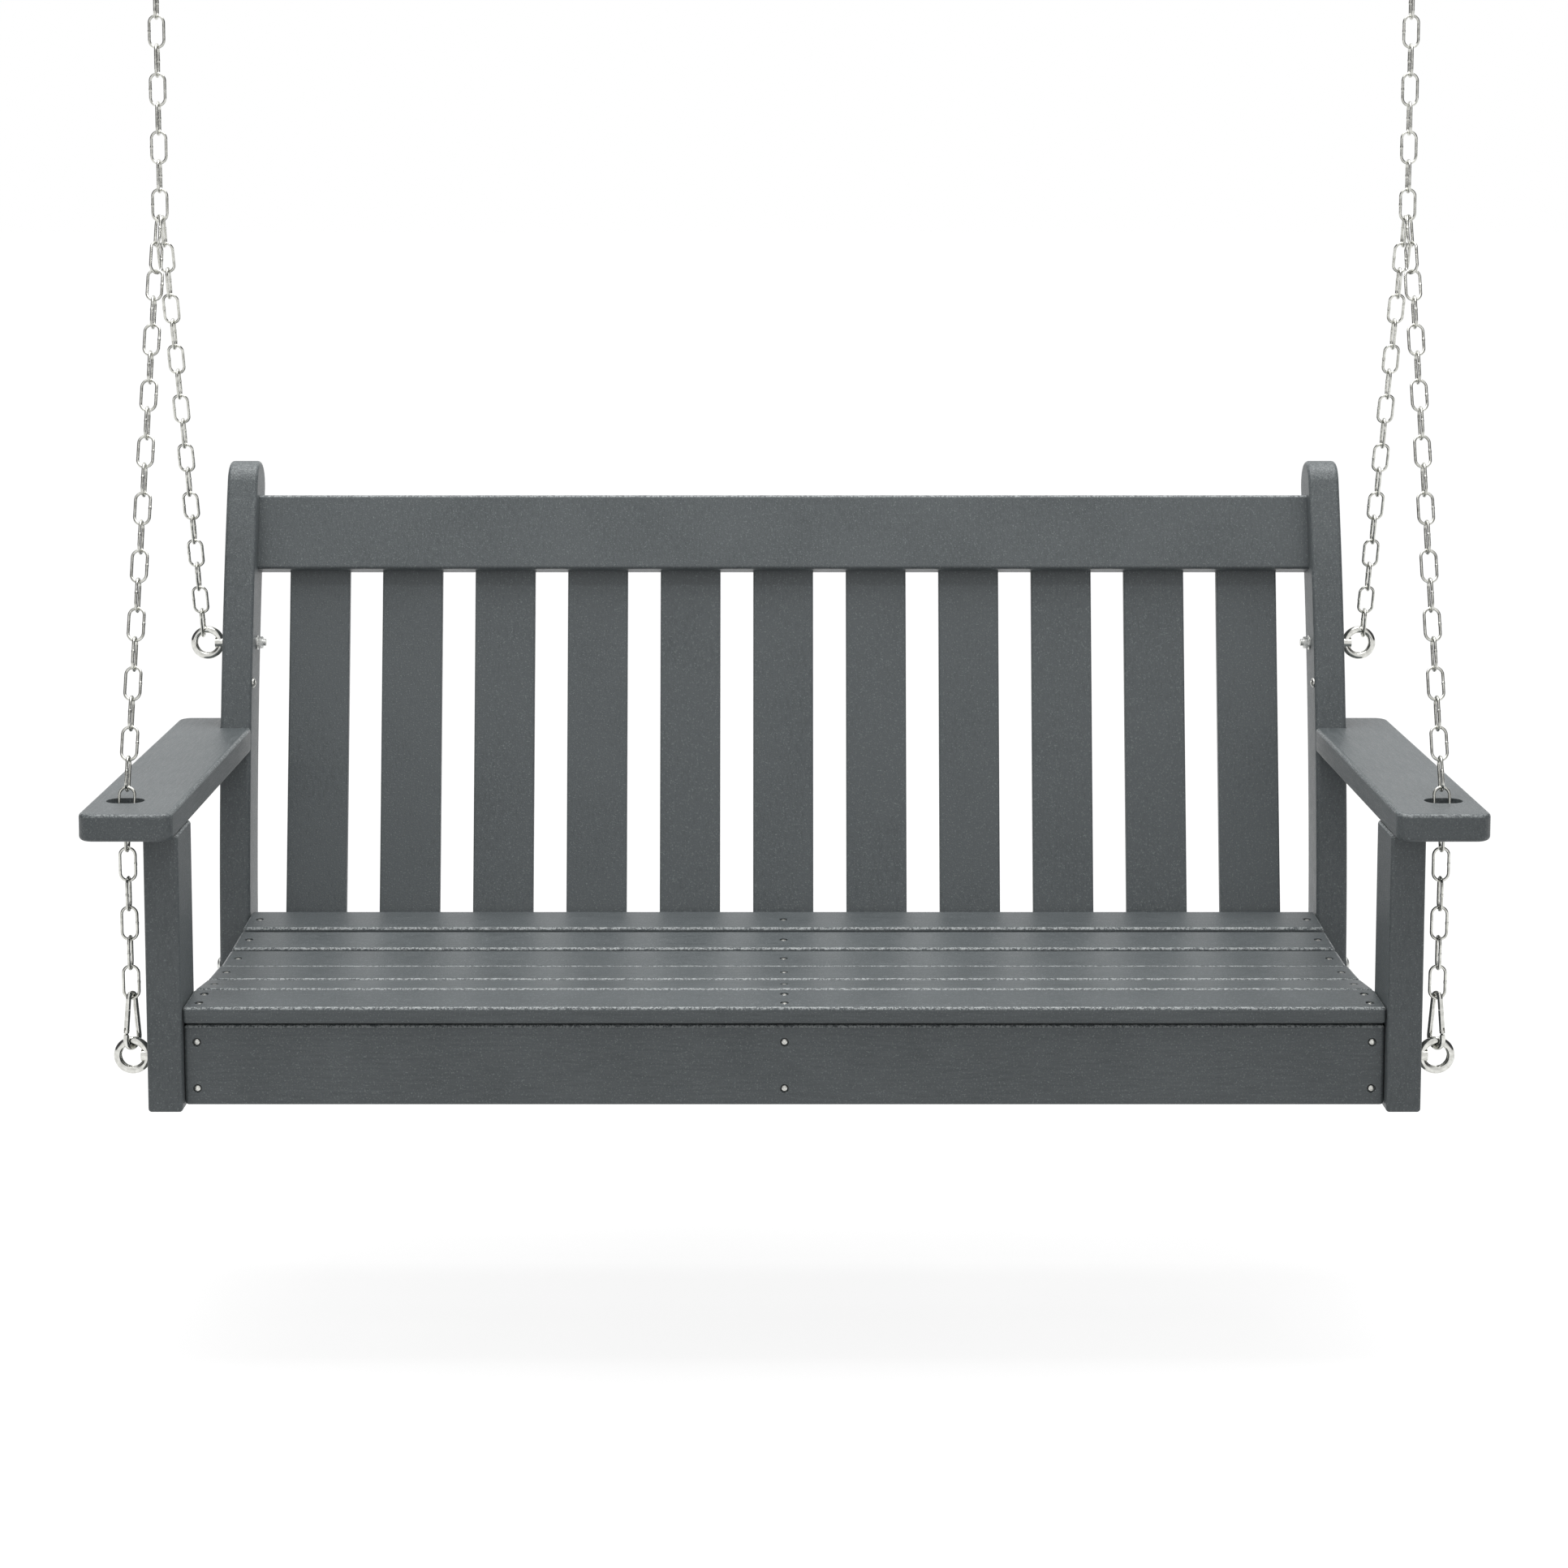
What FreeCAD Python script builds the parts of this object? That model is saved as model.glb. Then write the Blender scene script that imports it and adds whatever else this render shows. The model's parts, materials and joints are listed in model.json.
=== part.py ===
"""Porch swing: a slatted two-seat bench of recycled-plastic lumber, hung on two chains.

Frame: millimetres, +Z up, +X to the sitter's left (the swing's longest side), -Y in front of the swing.
The origin is the midpoint of the hang axis, the line through the bowls of the two ceiling hooks.
In the sizes below, a "depth" counts back from the front face of the legs, and a "height" counts up
from their feet.
Right-hand pieces (+X) are modelled, and the left-hand ones are their mirror images.
"""
import FreeCAD, Part
import math
import os
import re

import Sketcher
from FreeCAD import Matrix, Placement, Rotation, Vector

SIZES = {
    # where the swing hangs
    "hang_depth": 329.238,
    "hang_height": 1236.0,
    # lumber
    "stock": 38.1,
    "seat_half": 660.4,
    "round_edge": 4.0,
    "end_gap": 0.3,
    # front legs
    "leg_depth": 81.0,
    "leg_height": 310.0,
    # arms
    "arm_width": 101.6,
    "arm_length": 590.0,
    "arm_thick": 30.5,
    "arm_overhang": 38.0,
    "arm_corner": 17.0,
    "arm_edge": 5.0,
    "notch_depth": 471.2,
    "notch_rise": 5.5,
    "slot_length": 42.0,
    "slot_width": 28.0,
    "slot_middle": 36.0,
    "slot_side": 63.1,
    # back stiles
    "stile_front": 444.0,
    "stile_depth": 63.5,
    "stile_bend": 2000.0,
    "stile_bend_base": 20.0,
    "stile_bottom": 20.0,
    "stile_crown": 631.0,
    # apron
    "apron_front": 13.0,
    "apron_thick": 25.4,
    "apron_bottom": 4.6,
    "apron_height": 90.2,
    # seat slats, numbered from the back; height and tilt are those of each slat's upper face
    "seat_slat_width": 68.5,
    "seat_slat_thick": 19.0,
    "seat_slat_pitch": 77.5,
    "seat_slat_front": 41.0,
    "seat_height_1": 110.5,
    "seat_height_2": 104.8,
    "seat_height_3": 102.0,
    "seat_height_4": 105.9,
    "seat_height_5": 112.8,
    "seat_height_6": 117.4,
    "seat_tilt_1": 3.3,
    "seat_tilt_2": 2.6,
    "seat_tilt_3": 1.0,
    "seat_tilt_4": -2.7,
    "seat_tilt_5": -6.9,
    "seat_tilt_6": 1.5,
    # rails under the seat
    "rail_bottom": 14.0,
    "rail_back": 507.0,
    # back slats
    "back_slat_count": 11,
    "back_slat_width": 75.5,
    "back_slat_thick": 12.7,
    "back_slat_pitch": 116.85,
    "back_slat_edge": 2.5,
    "back_tilt": 10.4,
    "back_foot_depth": 480.6,
    "back_foot_height": 73.0,
    "back_slat_length": 485.0,
    "mortise_gap": 0.15,
    # rear bottom rail, which leans with the back slats
    "rear_rail_thick": 25.4,
    "rear_rail_height": 76.0,
    "rear_rail_bottom": 18.0,
    "rear_rail_front": 464.0,
    # top rail
    "top_rail_thick": 38.1,
    "top_rail_height": 94.0,
    "top_rail_tilt": 15.0,
    "top_rail_front": 545.8,
    "top_rail_bottom": 530.6,
    # screws
    "screw_head": 3.9,
    "screw_dome": 2.4,
    "screw_shaft": 2.1,
    "screw_length": 32.0,
    "recess": 4.9,
    "recess_depth": 2.7,
    "hole_gap": 0.07,
    "rail_screw_length": 70.0,
    "leg_screw_length": 64.0,
    "arm_screw_length": 88.0,
    "apron_screw_high": 75.5,
    "apron_screw_low": 23.4,
    "seat_screw_side": 645.0,
    "apron_screw_side": 646.0,
    # bolts, nuts and washers
    "bolt_radius": 4.0,
    "nut_radius": 7.5,
    "nut_height": 6.5,
    "washer_radius": 9.0,
    "washer_thick": 1.6,
    "bolt_end": 11.7,
    "bolt_head": 9.0,
    "bolt_dome": 4.5,
    "stile_screw_head": 6.0,
    "stile_screw_dome": 3.6,
    "stile_screw_length": 30.0,
    "dowel_length": 55.0,
    "dowel_in_leg": 34.0,
    # eye bolts
    "eye_radius": 16.5,
    "eye_wire": 4.5,
    "eye_reach": 23.5,
    "collar_radius": 6.3,
    "collar_length": 13.8,
    "front_eye_depth": 40.0,
    "front_eye_height": 53.5,
    "rear_eye_depth": 533.0,
    "rear_eye_height": 439.0,
    # chain
    "link_wire": 1.65,
    "link_bend": 8.5,
    "hang_side": 731.0,
    "split_height": 970.0,
    "upper_links": 8,
    "rear_links": 17,
    "slant_links": 20,
    "drop_links": 6,
    "slot_entry_depth": 46.0,
    "slot_entry_height": 351.7,
    "slot_exit_depth": 39.2,
    "slot_exit_height": 318.6,
    # snap hooks
    "snap_wire": 3.0,
    "snap_wide": 11.0,
    "snap_narrow": 5.5,
    "snap_bottom": 62.4,
    "snap_top": 123.2,
    "snap_turn": 28.0,
    "gate_pin_height": 84.0,
    "gate_pin_radius": 1.0,
    "gate_length": 22.0,
    "gate_radius": 3.1,
    "tongue_thick": 2.0,
    # ceiling hooks
    "hook_wire": 4.0,
    "hook_bowl": 16.0,
    "hook_neck": 10.0,
    "hook_top": 106.0,
}

doc = FreeCAD.newDocument("porch_swing")
sheet = doc.addObject("Spreadsheet::Sheet", "sizes")
for row, (alias, number) in enumerate(SIZES.items(), start=1):
    sheet.set(f"A{row}", alias)
    sheet.set(f"B{row}", str(number))
    sheet.setAlias(f"B{row}", alias)
doc.recompute()

X_AXIS, Y_AXIS, Z_AXIS = Vector(1, 0, 0), Vector(0, 1, 0), Vector(0, 0, 1)
SEAT_SLATS = 6
NODES = {}


# ---------------------------------------------------------------- helpers


def sheeted(text):
    """The expression with each size name pointed at its cell in the sheet."""
    return re.sub(r"[a-z_]\w*", lambda m: f"sizes.{m[0]}" if m[0] in SIZES else m[0], str(text))


def value(text):
    """The number that an expression over the sheet comes to."""
    return float(sheet.evalExpression(sheeted(text)))


def bind(obj, prop, text):
    obj.setExpression(prop, sheeted(text))


def point(x, depth, height):
    """A place in the model's frame, from its X, its depth and its height."""
    return Vector(value(x), value(depth) - value("hang_depth"), value(height) - value("hang_height"))


def place(obj, x, depth, height, tilt="0"):
    """Binds an object's placement to the sheet; a positive tilt raises its back edge."""
    obj.Placement = Placement(Vector(), Rotation(X_AXIS, 1.0))
    bind(obj, "Placement.Rotation.Angle", tilt)
    bind(obj, "Placement.Base.x", x)
    bind(obj, "Placement.Base.y", f"{depth} - hang_depth")
    bind(obj, "Placement.Base.z", f"{height} - hang_height")


def keep(obj, node):
    obj.Label = node
    NODES[node] = obj
    return obj


def mirror(node_right):
    """The left-hand twin of a right-hand piece."""
    node = node_right.replace("_right", "_left")
    twin = doc.addObject("Part::Mirroring", node)
    twin.Source = NODES[node_right]
    twin.Normal = X_AXIS
    return keep(twin, node)


def new_sketch(body, plane):
    sketch = body.newObject("Sketcher::SketchObject", body.Name + "_sketch")
    support = next(f for f in body.Origin.OriginFeatures if f.Role == plane)
    sketch.AttachmentSupport = [(support, "")]
    sketch.MapMode = "FlatFace"
    return sketch


def constrain(sketch, kind, *where, text):
    """Adds a driving dimension that follows the sheet."""
    index = sketch.addConstraint(Sketcher.Constraint(kind, *where, value(text)))
    bind(sketch, f"Constraints[{index}]", text)


def outline(body, plane, corners):
    """A closed outline of straight edges; each corner is a pair of expressions."""
    sketch = new_sketch(body, plane)
    places = [Vector(value(u), value(v), 0) for u, v in corners]
    count = len(places)
    for i in range(count):
        sketch.addGeometry(Part.LineSegment(places[i], places[(i + 1) % count]))
    for i in range(count):
        sketch.addConstraint(Sketcher.Constraint("Coincident", i, 2, (i + 1) % count, 1))
    for i, (u, v) in enumerate(corners):
        constrain(sketch, "DistanceX", -1, 1, i, 1, text=u)
        constrain(sketch, "DistanceY", -1, 1, i, 1, text=v)
    return sketch


def rectangle(body, width, height):
    return outline(body, "XY_Plane", [("0", "0"), (width, "0"), (width, height), ("0", height)])


def pad(body, sketch, length, cut=False):
    kind = "PartDesign::Pocket" if cut else "PartDesign::Pad"
    feature = body.newObject(kind, body.Name + ("_pocket" if cut else "_pad"))
    feature.Profile = sketch
    feature.Reversed = cut
    bind(feature, "Length", length)
    doc.recompute()
    return feature


def soften(body, radius, chosen=None):
    """Rounds a body's edges, or those that the chosen test picks."""
    base = body.Tip
    edges = [f"Edge{i}" for i, e in enumerate(base.Shape.Edges, 1) if chosen is None or chosen(e)]
    fillet = body.newObject("PartDesign::Fillet", body.Name + "_fillet")
    fillet.Base = (base, edges)
    bind(fillet, "Radius", radius)
    doc.recompute()
    return fillet


def board(name, width, depth, height, radius, chosen=None):
    """A rectangular board with rounded edges, its lower front corner at its own origin."""
    body = doc.addObject("PartDesign::Body", name)
    pad(body, rectangle(body, width, depth), height)
    soften(body, radius, chosen)
    return body


def bore(x, depth, height, direction, radius, length):
    """A cylinder that drills a hole, starting at a place and running along a direction."""
    tool = doc.addObject("Part::Cylinder", "bore")
    bind(tool, "Radius", radius)
    bind(tool, "Height", length)
    tool.Placement = Placement(point(x, depth, height), Rotation(Z_AXIS, direction))
    return tool


def drilled(base, tools, node):
    """The node: a board with its holes cut out."""
    holes = doc.addObject("Part::Compound", node + "_holes")
    holes.Links = tools
    cut = doc.addObject("Part::Cut", node)
    cut.Base = base
    cut.Tool = holes
    return keep(cut, node)


def feature(node, shapes):
    """A node of shapes made by functions: one solid, or a group of identical pieces."""
    obj = doc.addObject("Part::Feature", node)
    obj.Shape = Part.makeCompound(shapes) if len(shapes) > 1 else shapes[0]
    return keep(obj, node)


# a point on a dome's profile, as shares of the head's radius and of the dome's height
DOME_OUT, DOME_UP = 0.78, 0.72


def fastener(head, dome, shaft, length):
    """A dome-head screw or bolt: its shaft runs down -Z from the underside of its head."""
    top, rim = Vector(0, 0, dome), Vector(head, 0, 0)
    bulge = Vector(head * DOME_OUT, 0, dome * DOME_UP)
    neck, tip_start = Vector(shaft, 0, 0), Vector(shaft, 0, shaft - length)
    tip = Vector(0, 0, -length)
    edges = [Part.Arc(top, bulge, rim).toShape()]
    edges += [Part.makeLine(a, b) for a, b in ((rim, neck), (neck, tip_start), (tip_start, tip), (tip, top))]
    return Part.Face(Part.Wire(edges)).revolve(Vector(), Z_AXIS, 360)


def wood_screw(length):
    return fastener(value("screw_head"), value("screw_dome"), value("screw_shaft"), value(length))


def set_at(shape, where, outward):
    """A copy of a fastener whose head points outward from a place."""
    copy = shape.copy()
    copy.Placement = Placement(where, Rotation(Z_AXIS, outward))
    return copy


# ---------------------------------------------------------------- seat slats and their screws


def slat_depth(number):
    return f"(seat_slat_front + {SEAT_SLATS - number} * seat_slat_pitch)"


def slat_place(number, across, under):
    """A place on a slat's cross-section: across its width from the middle, and under its upper face."""
    tilt = f"seat_tilt_{number}"
    depth = f"({slat_depth(number)} + ({across}) * cos({tilt}) + ({under}) * sin({tilt}))"
    height = f"(seat_height_{number} + ({across}) * sin({tilt}) - ({under}) * cos({tilt}))"
    return depth, height


def slat_up(number):
    tilt = math.radians(value(f"seat_tilt_{number}"))
    return Vector(0, -math.sin(tilt), math.cos(tilt))


# the front slat carries two rows of screws, the others one
SCREW_ROWS = {number: ["0"] for number in range(1, SEAT_SLATS)} | {SEAT_SLATS: ["16.5", "-16.5"]}
SCREW_SIDES = ("seat_screw_side", "0", "0 - seat_screw_side")

short_screw = wood_screw("screw_length")
seat_screws = []
seat_screw_spots, apron_top_spots = [], []
for number in range(1, SEAT_SLATS + 1):
    length = "2 * (seat_half - end_gap)"
    slat = board(f"seat_board_{number}", length, "seat_slat_width", "seat_slat_thick", "round_edge")
    corner_depth, corner_height = slat_place(number, "0 - seat_slat_width / 2", "seat_slat_thick")
    place(slat, "end_gap - seat_half", corner_depth, corner_height, f"seat_tilt_{number}")
    tools = []
    for across in SCREW_ROWS[number]:
        for side in SCREW_SIDES:
            top = slat_place(number, across, "0 - 1")
            seat_under = slat_place(number, across, "recess_depth")
            down = slat_up(number) * -1
            tools.append(bore(side, *top, down, "recess", "recess_depth + 1"))
            tools.append(bore(side, *top, down, "screw_shaft + hole_gap", "seat_slat_thick + 3"))
            seat_screws.append(set_at(short_screw, point(side, *seat_under), slat_up(number)))
            # the frontmost row goes into the apron's top edge, and the others into the rails
            in_apron = value(top[0]) < value("apron_front + apron_thick")
            (apron_top_spots if in_apron else seat_screw_spots).append((side, seat_under, down))
    drilled(slat, tools, f"seat_slat_{number}")
feature("seat_slat_screws", seat_screws)


# ---------------------------------------------------------------- rails under the seat


def rail_outline(front, back_low, back_high):
    """The side view of a rail: its top edge lies against the underside of every seat slat."""
    under = []
    for number in range(1, SEAT_SLATS + 1):
        under.append(slat_place(number, "seat_slat_width / 2", "seat_slat_thick"))
        under.append(slat_place(number, "0 - seat_slat_width / 2", "seat_slat_thick"))
    # the front slat reaches past the rail, so the rail ends partway along it
    tilt = f"seat_tilt_{SEAT_SLATS}"
    across = f"({front} - {slat_depth(SEAT_SLATS)} - seat_slat_thick * sin({tilt})) / cos({tilt})"
    under[-1] = slat_place(SEAT_SLATS, across, "seat_slat_thick")
    back_height, front_height = under[0][1], under.pop()[1]
    foot = [(front, "rail_bottom"), (back_low, "rail_bottom"), (back_high, back_height)]
    return foot + under + [(front, front_height)]


def rail(name, front, back_low, back_high, x):
    body = doc.addObject("PartDesign::Body", name)
    pad(body, outline(body, "YZ_Plane", rail_outline(front, back_low, back_high)), "stock")
    place(body, x, "0", "0")
    return body


def rear_rail_face(height):
    """The depth of the rear rail's front face at a height."""
    return f"(rear_rail_front + (({height}) - rear_rail_bottom) * tan(back_tilt))"


RAIL_FRONT = "apron_front + apron_thick"
APRON_SCREW_HEIGHTS = ("apron_screw_high", "apron_screw_low")
pilot = "screw_shaft + hole_gap"
shank = "bolt_radius + hole_gap"


def seat_screw_bores(side):
    return [
        bore(s, *spot, down, pilot, "screw_length + 0.5") for s, spot, down in seat_screw_spots if s == side
    ]


def apron_screw_bores(side):
    return [
        bore(side, "apron_front", height, Y_AXIS, pilot, "rail_screw_length + 0.5")
        for height in APRON_SCREW_HEIGHTS
    ]


# places on the sides of the swing, as a depth and a height
LEG_SCREW = ("64", "48")
REAR_SCREWS = [("480", "32"), ("484.5", "60")]
CARRIAGE = ("456", "47")
REAR_MIDDLE_HEIGHTS = ("36", "72")

side_body = rail("side_rail_board", RAIL_FRONT, "rail_back", "rail_back", "seat_half - stock")
side_tools = seat_screw_bores("seat_screw_side") + apron_screw_bores("apron_screw_side")
side_tools.append(bore("seat_half + 1", "front_eye_depth", "front_eye_height", -X_AXIS, shank, "stock + 2"))
side_tools.append(bore("seat_half + 1", *CARRIAGE, -X_AXIS, shank, "stock + 2"))
side_tools.append(bore("seat_half - stock - 1", *LEG_SCREW, X_AXIS, pilot, "stock + 2"))
for spot in REAR_SCREWS:
    side_tools.append(bore("seat_half + 1", *spot, -X_AXIS, "recess", "recess_depth + 1"))
    side_tools.append(bore("seat_half + 1", *spot, -X_AXIS, pilot, "stock + 2"))
drilled(side_body, side_tools, "side_rail_right")
mirror("side_rail_right")

center_body = rail(
    "center_rail_board",
    RAIL_FRONT,
    rear_rail_face("rail_bottom") + " - 0.1",
    rear_rail_face(slat_place(1, "seat_slat_width / 2", "seat_slat_thick")[1]) + " - 0.1",
    "0 - stock / 2",
)
center_tools = seat_screw_bores("0") + apron_screw_bores("0")
lean_back = Vector(0, math.cos(math.radians(value("back_tilt"))), -math.sin(math.radians(value("back_tilt"))))
for height in REAR_MIDDLE_HEIGHTS:
    spot = rear_rail_face(height)
    center_tools.append(bore("0", spot, height, lean_back * -1, pilot, "screw_length - rear_rail_thick + 3"))
drilled(center_body, center_tools, "center_rail")


# ---------------------------------------------------------------- apron

apron = board("apron_board", "2 * (seat_half - end_gap)", "apron_thick", "apron_height", "round_edge")
place(apron, "end_gap - seat_half", "apron_front", "apron_bottom")
apron_screw = wood_screw("leg_screw_length")
apron_tools, apron_screws = [], []
for side in ("apron_screw_side", "0", "0 - apron_screw_side"):
    for height in APRON_SCREW_HEIGHTS:
        apron_tools.append(bore(side, "apron_front - 1", height, Y_AXIS, "recess", "recess_depth + 1"))
        apron_tools.append(bore(side, "apron_front - 1", height, Y_AXIS, pilot, "apron_thick + 2"))
        apron_screws.append(set_at(apron_screw, point(side, "apron_front + recess_depth", height), -Y_AXIS))
for side, seat_under, down in apron_top_spots:
    apron_tools.append(bore(side, *seat_under, down, pilot, "screw_length + 0.5"))
# the apron's back is relieved around each front eye bolt, its washer and its nut
for sign in (1, -1):
    eye = "front_eye_depth", "front_eye_height"
    inner = f"{sign} * (seat_half - stock)"
    apron_tools.append(bore(inner, *eye, X_AXIS * -sign, "washer_radius + 1", "bolt_end + 2"))
    apron_tools.append(bore(inner, *eye, X_AXIS * sign, shank, "stock + 1"))
drilled(apron, apron_tools, "front_apron")
feature("apron_screws", apron_screws)


# ---------------------------------------------------------------- back: slats, rear rail and top rail


def back_slat_x(number):
    return f"(({number} - (back_slat_count + 1) / 2) * back_slat_pitch - back_slat_width / 2)"


def along_z(edge):
    """Whether an edge runs the length of an upright board."""
    return edge.BoundBox.ZLength > 100


def along_x(edge):
    return edge.BoundBox.XLength > 100


mortises = []
for number in range(1, int(value("back_slat_count")) + 1):
    section = "back_slat_width", "back_slat_thick"
    slat = board(f"back_board_{number:02d}", *section, "back_slat_length", "back_slat_edge", along_z)
    place(slat, back_slat_x(number), "back_foot_depth", "back_foot_height", "0 - back_tilt")
    keep(slat, f"back_slat_{number:02d}")
    tool = doc.addObject("Part::Box", "mortise")
    bind(tool, "Length", "back_slat_width + 2 * mortise_gap")
    bind(tool, "Width", "back_slat_thick + 2 * mortise_gap")
    bind(tool, "Height", "back_slat_length + 2 * mortise_gap")
    place(
        tool,
        back_slat_x(number) + " - mortise_gap",
        "back_foot_depth - mortise_gap",
        "back_foot_height - mortise_gap",
        "0 - back_tilt",
    )
    mortises.append(tool)

rear_rail = board(
    "rear_rail_board", "2 * (seat_half - stock)", "rear_rail_thick", "rear_rail_height", "round_edge / 2",
    along_x,
)
place(rear_rail, "stock - seat_half", "rear_rail_front", "rear_rail_bottom", "0 - back_tilt")
rear_screw = wood_screw("rail_screw_length")
rear_tools, rear_screws = list(mortises), []
# how far a screw through a board reaches into the next one
reach = "rail_screw_length - stock + recess_depth + 1"
for spot in REAR_SCREWS:
    for sign in (1, -1):
        inner, head = f"{sign} * (seat_half - stock)", f"{sign} * (seat_half - recess_depth)"
        rear_tools.append(bore(inner, *spot, X_AXIS * -sign, pilot, reach))
        rear_screws.append(set_at(rear_screw, point(head, *spot), X_AXIS * sign))
thickness = value("rear_rail_thick")
for height in REAR_MIDDLE_HEIGHTS:
    face = point("0", rear_rail_face(height), height)
    outside = face + lean_back * (thickness + 1)
    seat = face + lean_back * (thickness - value("recess_depth"))
    for radius, length in (("recess", "recess_depth + 1"), (pilot, "rear_rail_thick + 2")):
        tool = bore("0", "0", "0", lean_back * -1, radius, length)
        tool.Placement.Base = outside
        rear_tools.append(tool)
    rear_screws.append(set_at(short_screw, seat, lean_back))
drilled(rear_rail, rear_tools, "rear_rail")
feature("rear_rail_screws", rear_screws)

TOP_SCREWS = [("574", "552"), ("586", "600")]
top_rail = board(
    "top_rail_board", "2 * (seat_half - end_gap / 3)", "top_rail_thick", "top_rail_height", "round_edge",
    along_x,
)
place(top_rail, "end_gap / 3 - seat_half", "top_rail_front", "top_rail_bottom", "0 - top_rail_tilt")
top_tools, top_screws = list(mortises), []
for spot in TOP_SCREWS:
    for sign in (1, -1):
        inner = f"{sign} * seat_half"
        top_tools.append(bore(inner, *spot, X_AXIS * -sign, pilot, reach))
        head = f"{sign} * (seat_half + stock - recess_depth)"
        top_screws.append(set_at(rear_screw, point(head, *spot), X_AXIS * sign))
drilled(top_rail, top_tools, "top_rail")
feature("top_rail_screws", top_screws)


# ---------------------------------------------------------------- back stiles


def stile_front_at(height):
    """The depth of the stile's curved front edge at a height."""
    rise = height + value("stile_bend_base")
    bend = value("stile_bend")
    return value("stile_front") + bend - math.sqrt(bend**2 - rise**2)


def arc(center, radius, start, end):
    """A counterclockwise arc between two places."""
    angles = [math.atan2(p.y - center.y, p.x - center.x) for p in (start, end)]
    return Part.ArcOfCircle(Part.Circle(center, Z_AXIS, radius), *angles)


def stile_sketch(body):
    """The side view of a stile: two concentric arcs, joined by a straight foot and a round crown."""
    sketch = new_sketch(body, "YZ_Plane")
    outer, depth = value("stile_bend"), value("stile_depth")
    inner = outer - depth
    center = Vector(value("stile_front") + outer, -value("stile_bend_base"), 0)

    def on(radius, height):
        return Vector(center.x - math.sqrt(radius**2 - (height - center.y) ** 2), height, 0)

    foot = value("stile_bottom")
    crown_center = on(outer - depth / 2, value("stile_crown"))
    ray = (crown_center - center).normalize()
    front_top, back_top = center + ray * outer, center + ray * inner
    front_foot, back_foot = on(outer, foot), on(inner, foot)
    sketch.addGeometry(arc(center, outer, front_top, front_foot))
    sketch.addGeometry(arc(crown_center, depth / 2, back_top, front_top))
    sketch.addGeometry(arc(center, inner, back_top, back_foot))
    sketch.addGeometry(Part.LineSegment(back_foot, front_foot))
    for kind, *ends in (
        ("Tangent", 0, 1, 1, 2),
        ("Tangent", 1, 1, 2, 1),
        ("Coincident", 2, 2, 3, 1),
        ("Coincident", 3, 2, 0, 2),
        ("Coincident", 0, 3, 2, 3),
        ("Horizontal", 3),
    ):
        sketch.addConstraint(Sketcher.Constraint(kind, *ends))
    constrain(sketch, "DistanceX", -1, 1, 0, 3, text="stile_front + stile_bend")
    constrain(sketch, "DistanceY", -1, 1, 0, 3, text="0 - stile_bend_base")
    constrain(sketch, "Radius", 0, text="stile_bend")
    constrain(sketch, "Radius", 2, text="stile_bend - stile_depth")
    constrain(sketch, "DistanceY", -1, 1, 1, 3, text="stile_crown")
    constrain(sketch, "DistanceY", -1, 1, 3, 1, text="stile_bottom")
    return sketch


def stile():
    body = doc.addObject("PartDesign::Body", "stile_board")
    pad(body, stile_sketch(body), "stock")
    foot = value("stile_bottom")
    soften(body, "arm_edge", lambda edge: edge.BoundBox.XLength < 1 or edge.BoundBox.ZMax < foot + 1)
    place(body, "seat_half", "0", "0")
    return body


STILE_SCREW_HEIGHT = 394.0
stile_screw_spot = (str(stile_front_at(STILE_SCREW_HEIGHT) + 9.5), str(STILE_SCREW_HEIGHT))
ARM_SCREW = ("506", "325")
stile_tools = [
    bore("seat_half - 1", "rear_eye_depth", "rear_eye_height", X_AXIS, shank, "stock + 2"),
    bore("seat_half - 1", *CARRIAGE, X_AXIS, shank, "stock + 2"),
    bore("seat_half - 1", *stile_screw_spot, X_AXIS, pilot, "stile_screw_length + 1.5"),
    bore("seat_half + stock + 1", *ARM_SCREW, -X_AXIS, pilot, "stile_screw_length + 1.5"),
]
for spot in TOP_SCREWS:
    stile_tools.append(bore("seat_half + stock + 1", *spot, -X_AXIS, "recess", "recess_depth + 1"))
    stile_tools.append(bore("seat_half + stock + 1", *spot, -X_AXIS, pilot, "stock + 2"))
drilled(stile(), stile_tools, "back_stile_right")
mirror("back_stile_right")

stile_screw = fastener(
    value("stile_screw_head"), value("stile_screw_dome"), value("screw_shaft"), value("stile_screw_length")
)
feature(
    "stile_side_screws",
    [set_at(stile_screw, point(f"{s} * seat_half", *stile_screw_spot), X_AXIS * -s) for s in (1, -1)],
)


# ---------------------------------------------------------------- front legs

leg = board("leg_board", "stock", "leg_depth", "leg_height", "round_edge")
place(leg, "seat_half", "0", "0")
DOWEL_SPOTS = ("20", "62")
leg_tools = [bore("seat_half - 1", "front_eye_depth", "front_eye_height", X_AXIS, shank, "stock + 2")]
leg_tools.append(bore("seat_half - 1", *LEG_SCREW, X_AXIS, pilot, "leg_screw_length - stock + 3.1"))
leg_middle = "seat_half + stock / 2"
for depth in DOWEL_SPOTS:
    leg_tools.append(bore(leg_middle, depth, "leg_height + 1", -Z_AXIS, shank, "dowel_in_leg + 2"))
drilled(leg, leg_tools, "front_leg_right")
mirror("front_leg_right")
leg_screw = wood_screw("leg_screw_length")
feature(
    "leg_screws",
    [set_at(leg_screw, point(f"{s} * (seat_half - stock)", *LEG_SCREW), X_AXIS * -s) for s in (1, -1)],
)


# ---------------------------------------------------------------- arms


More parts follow.
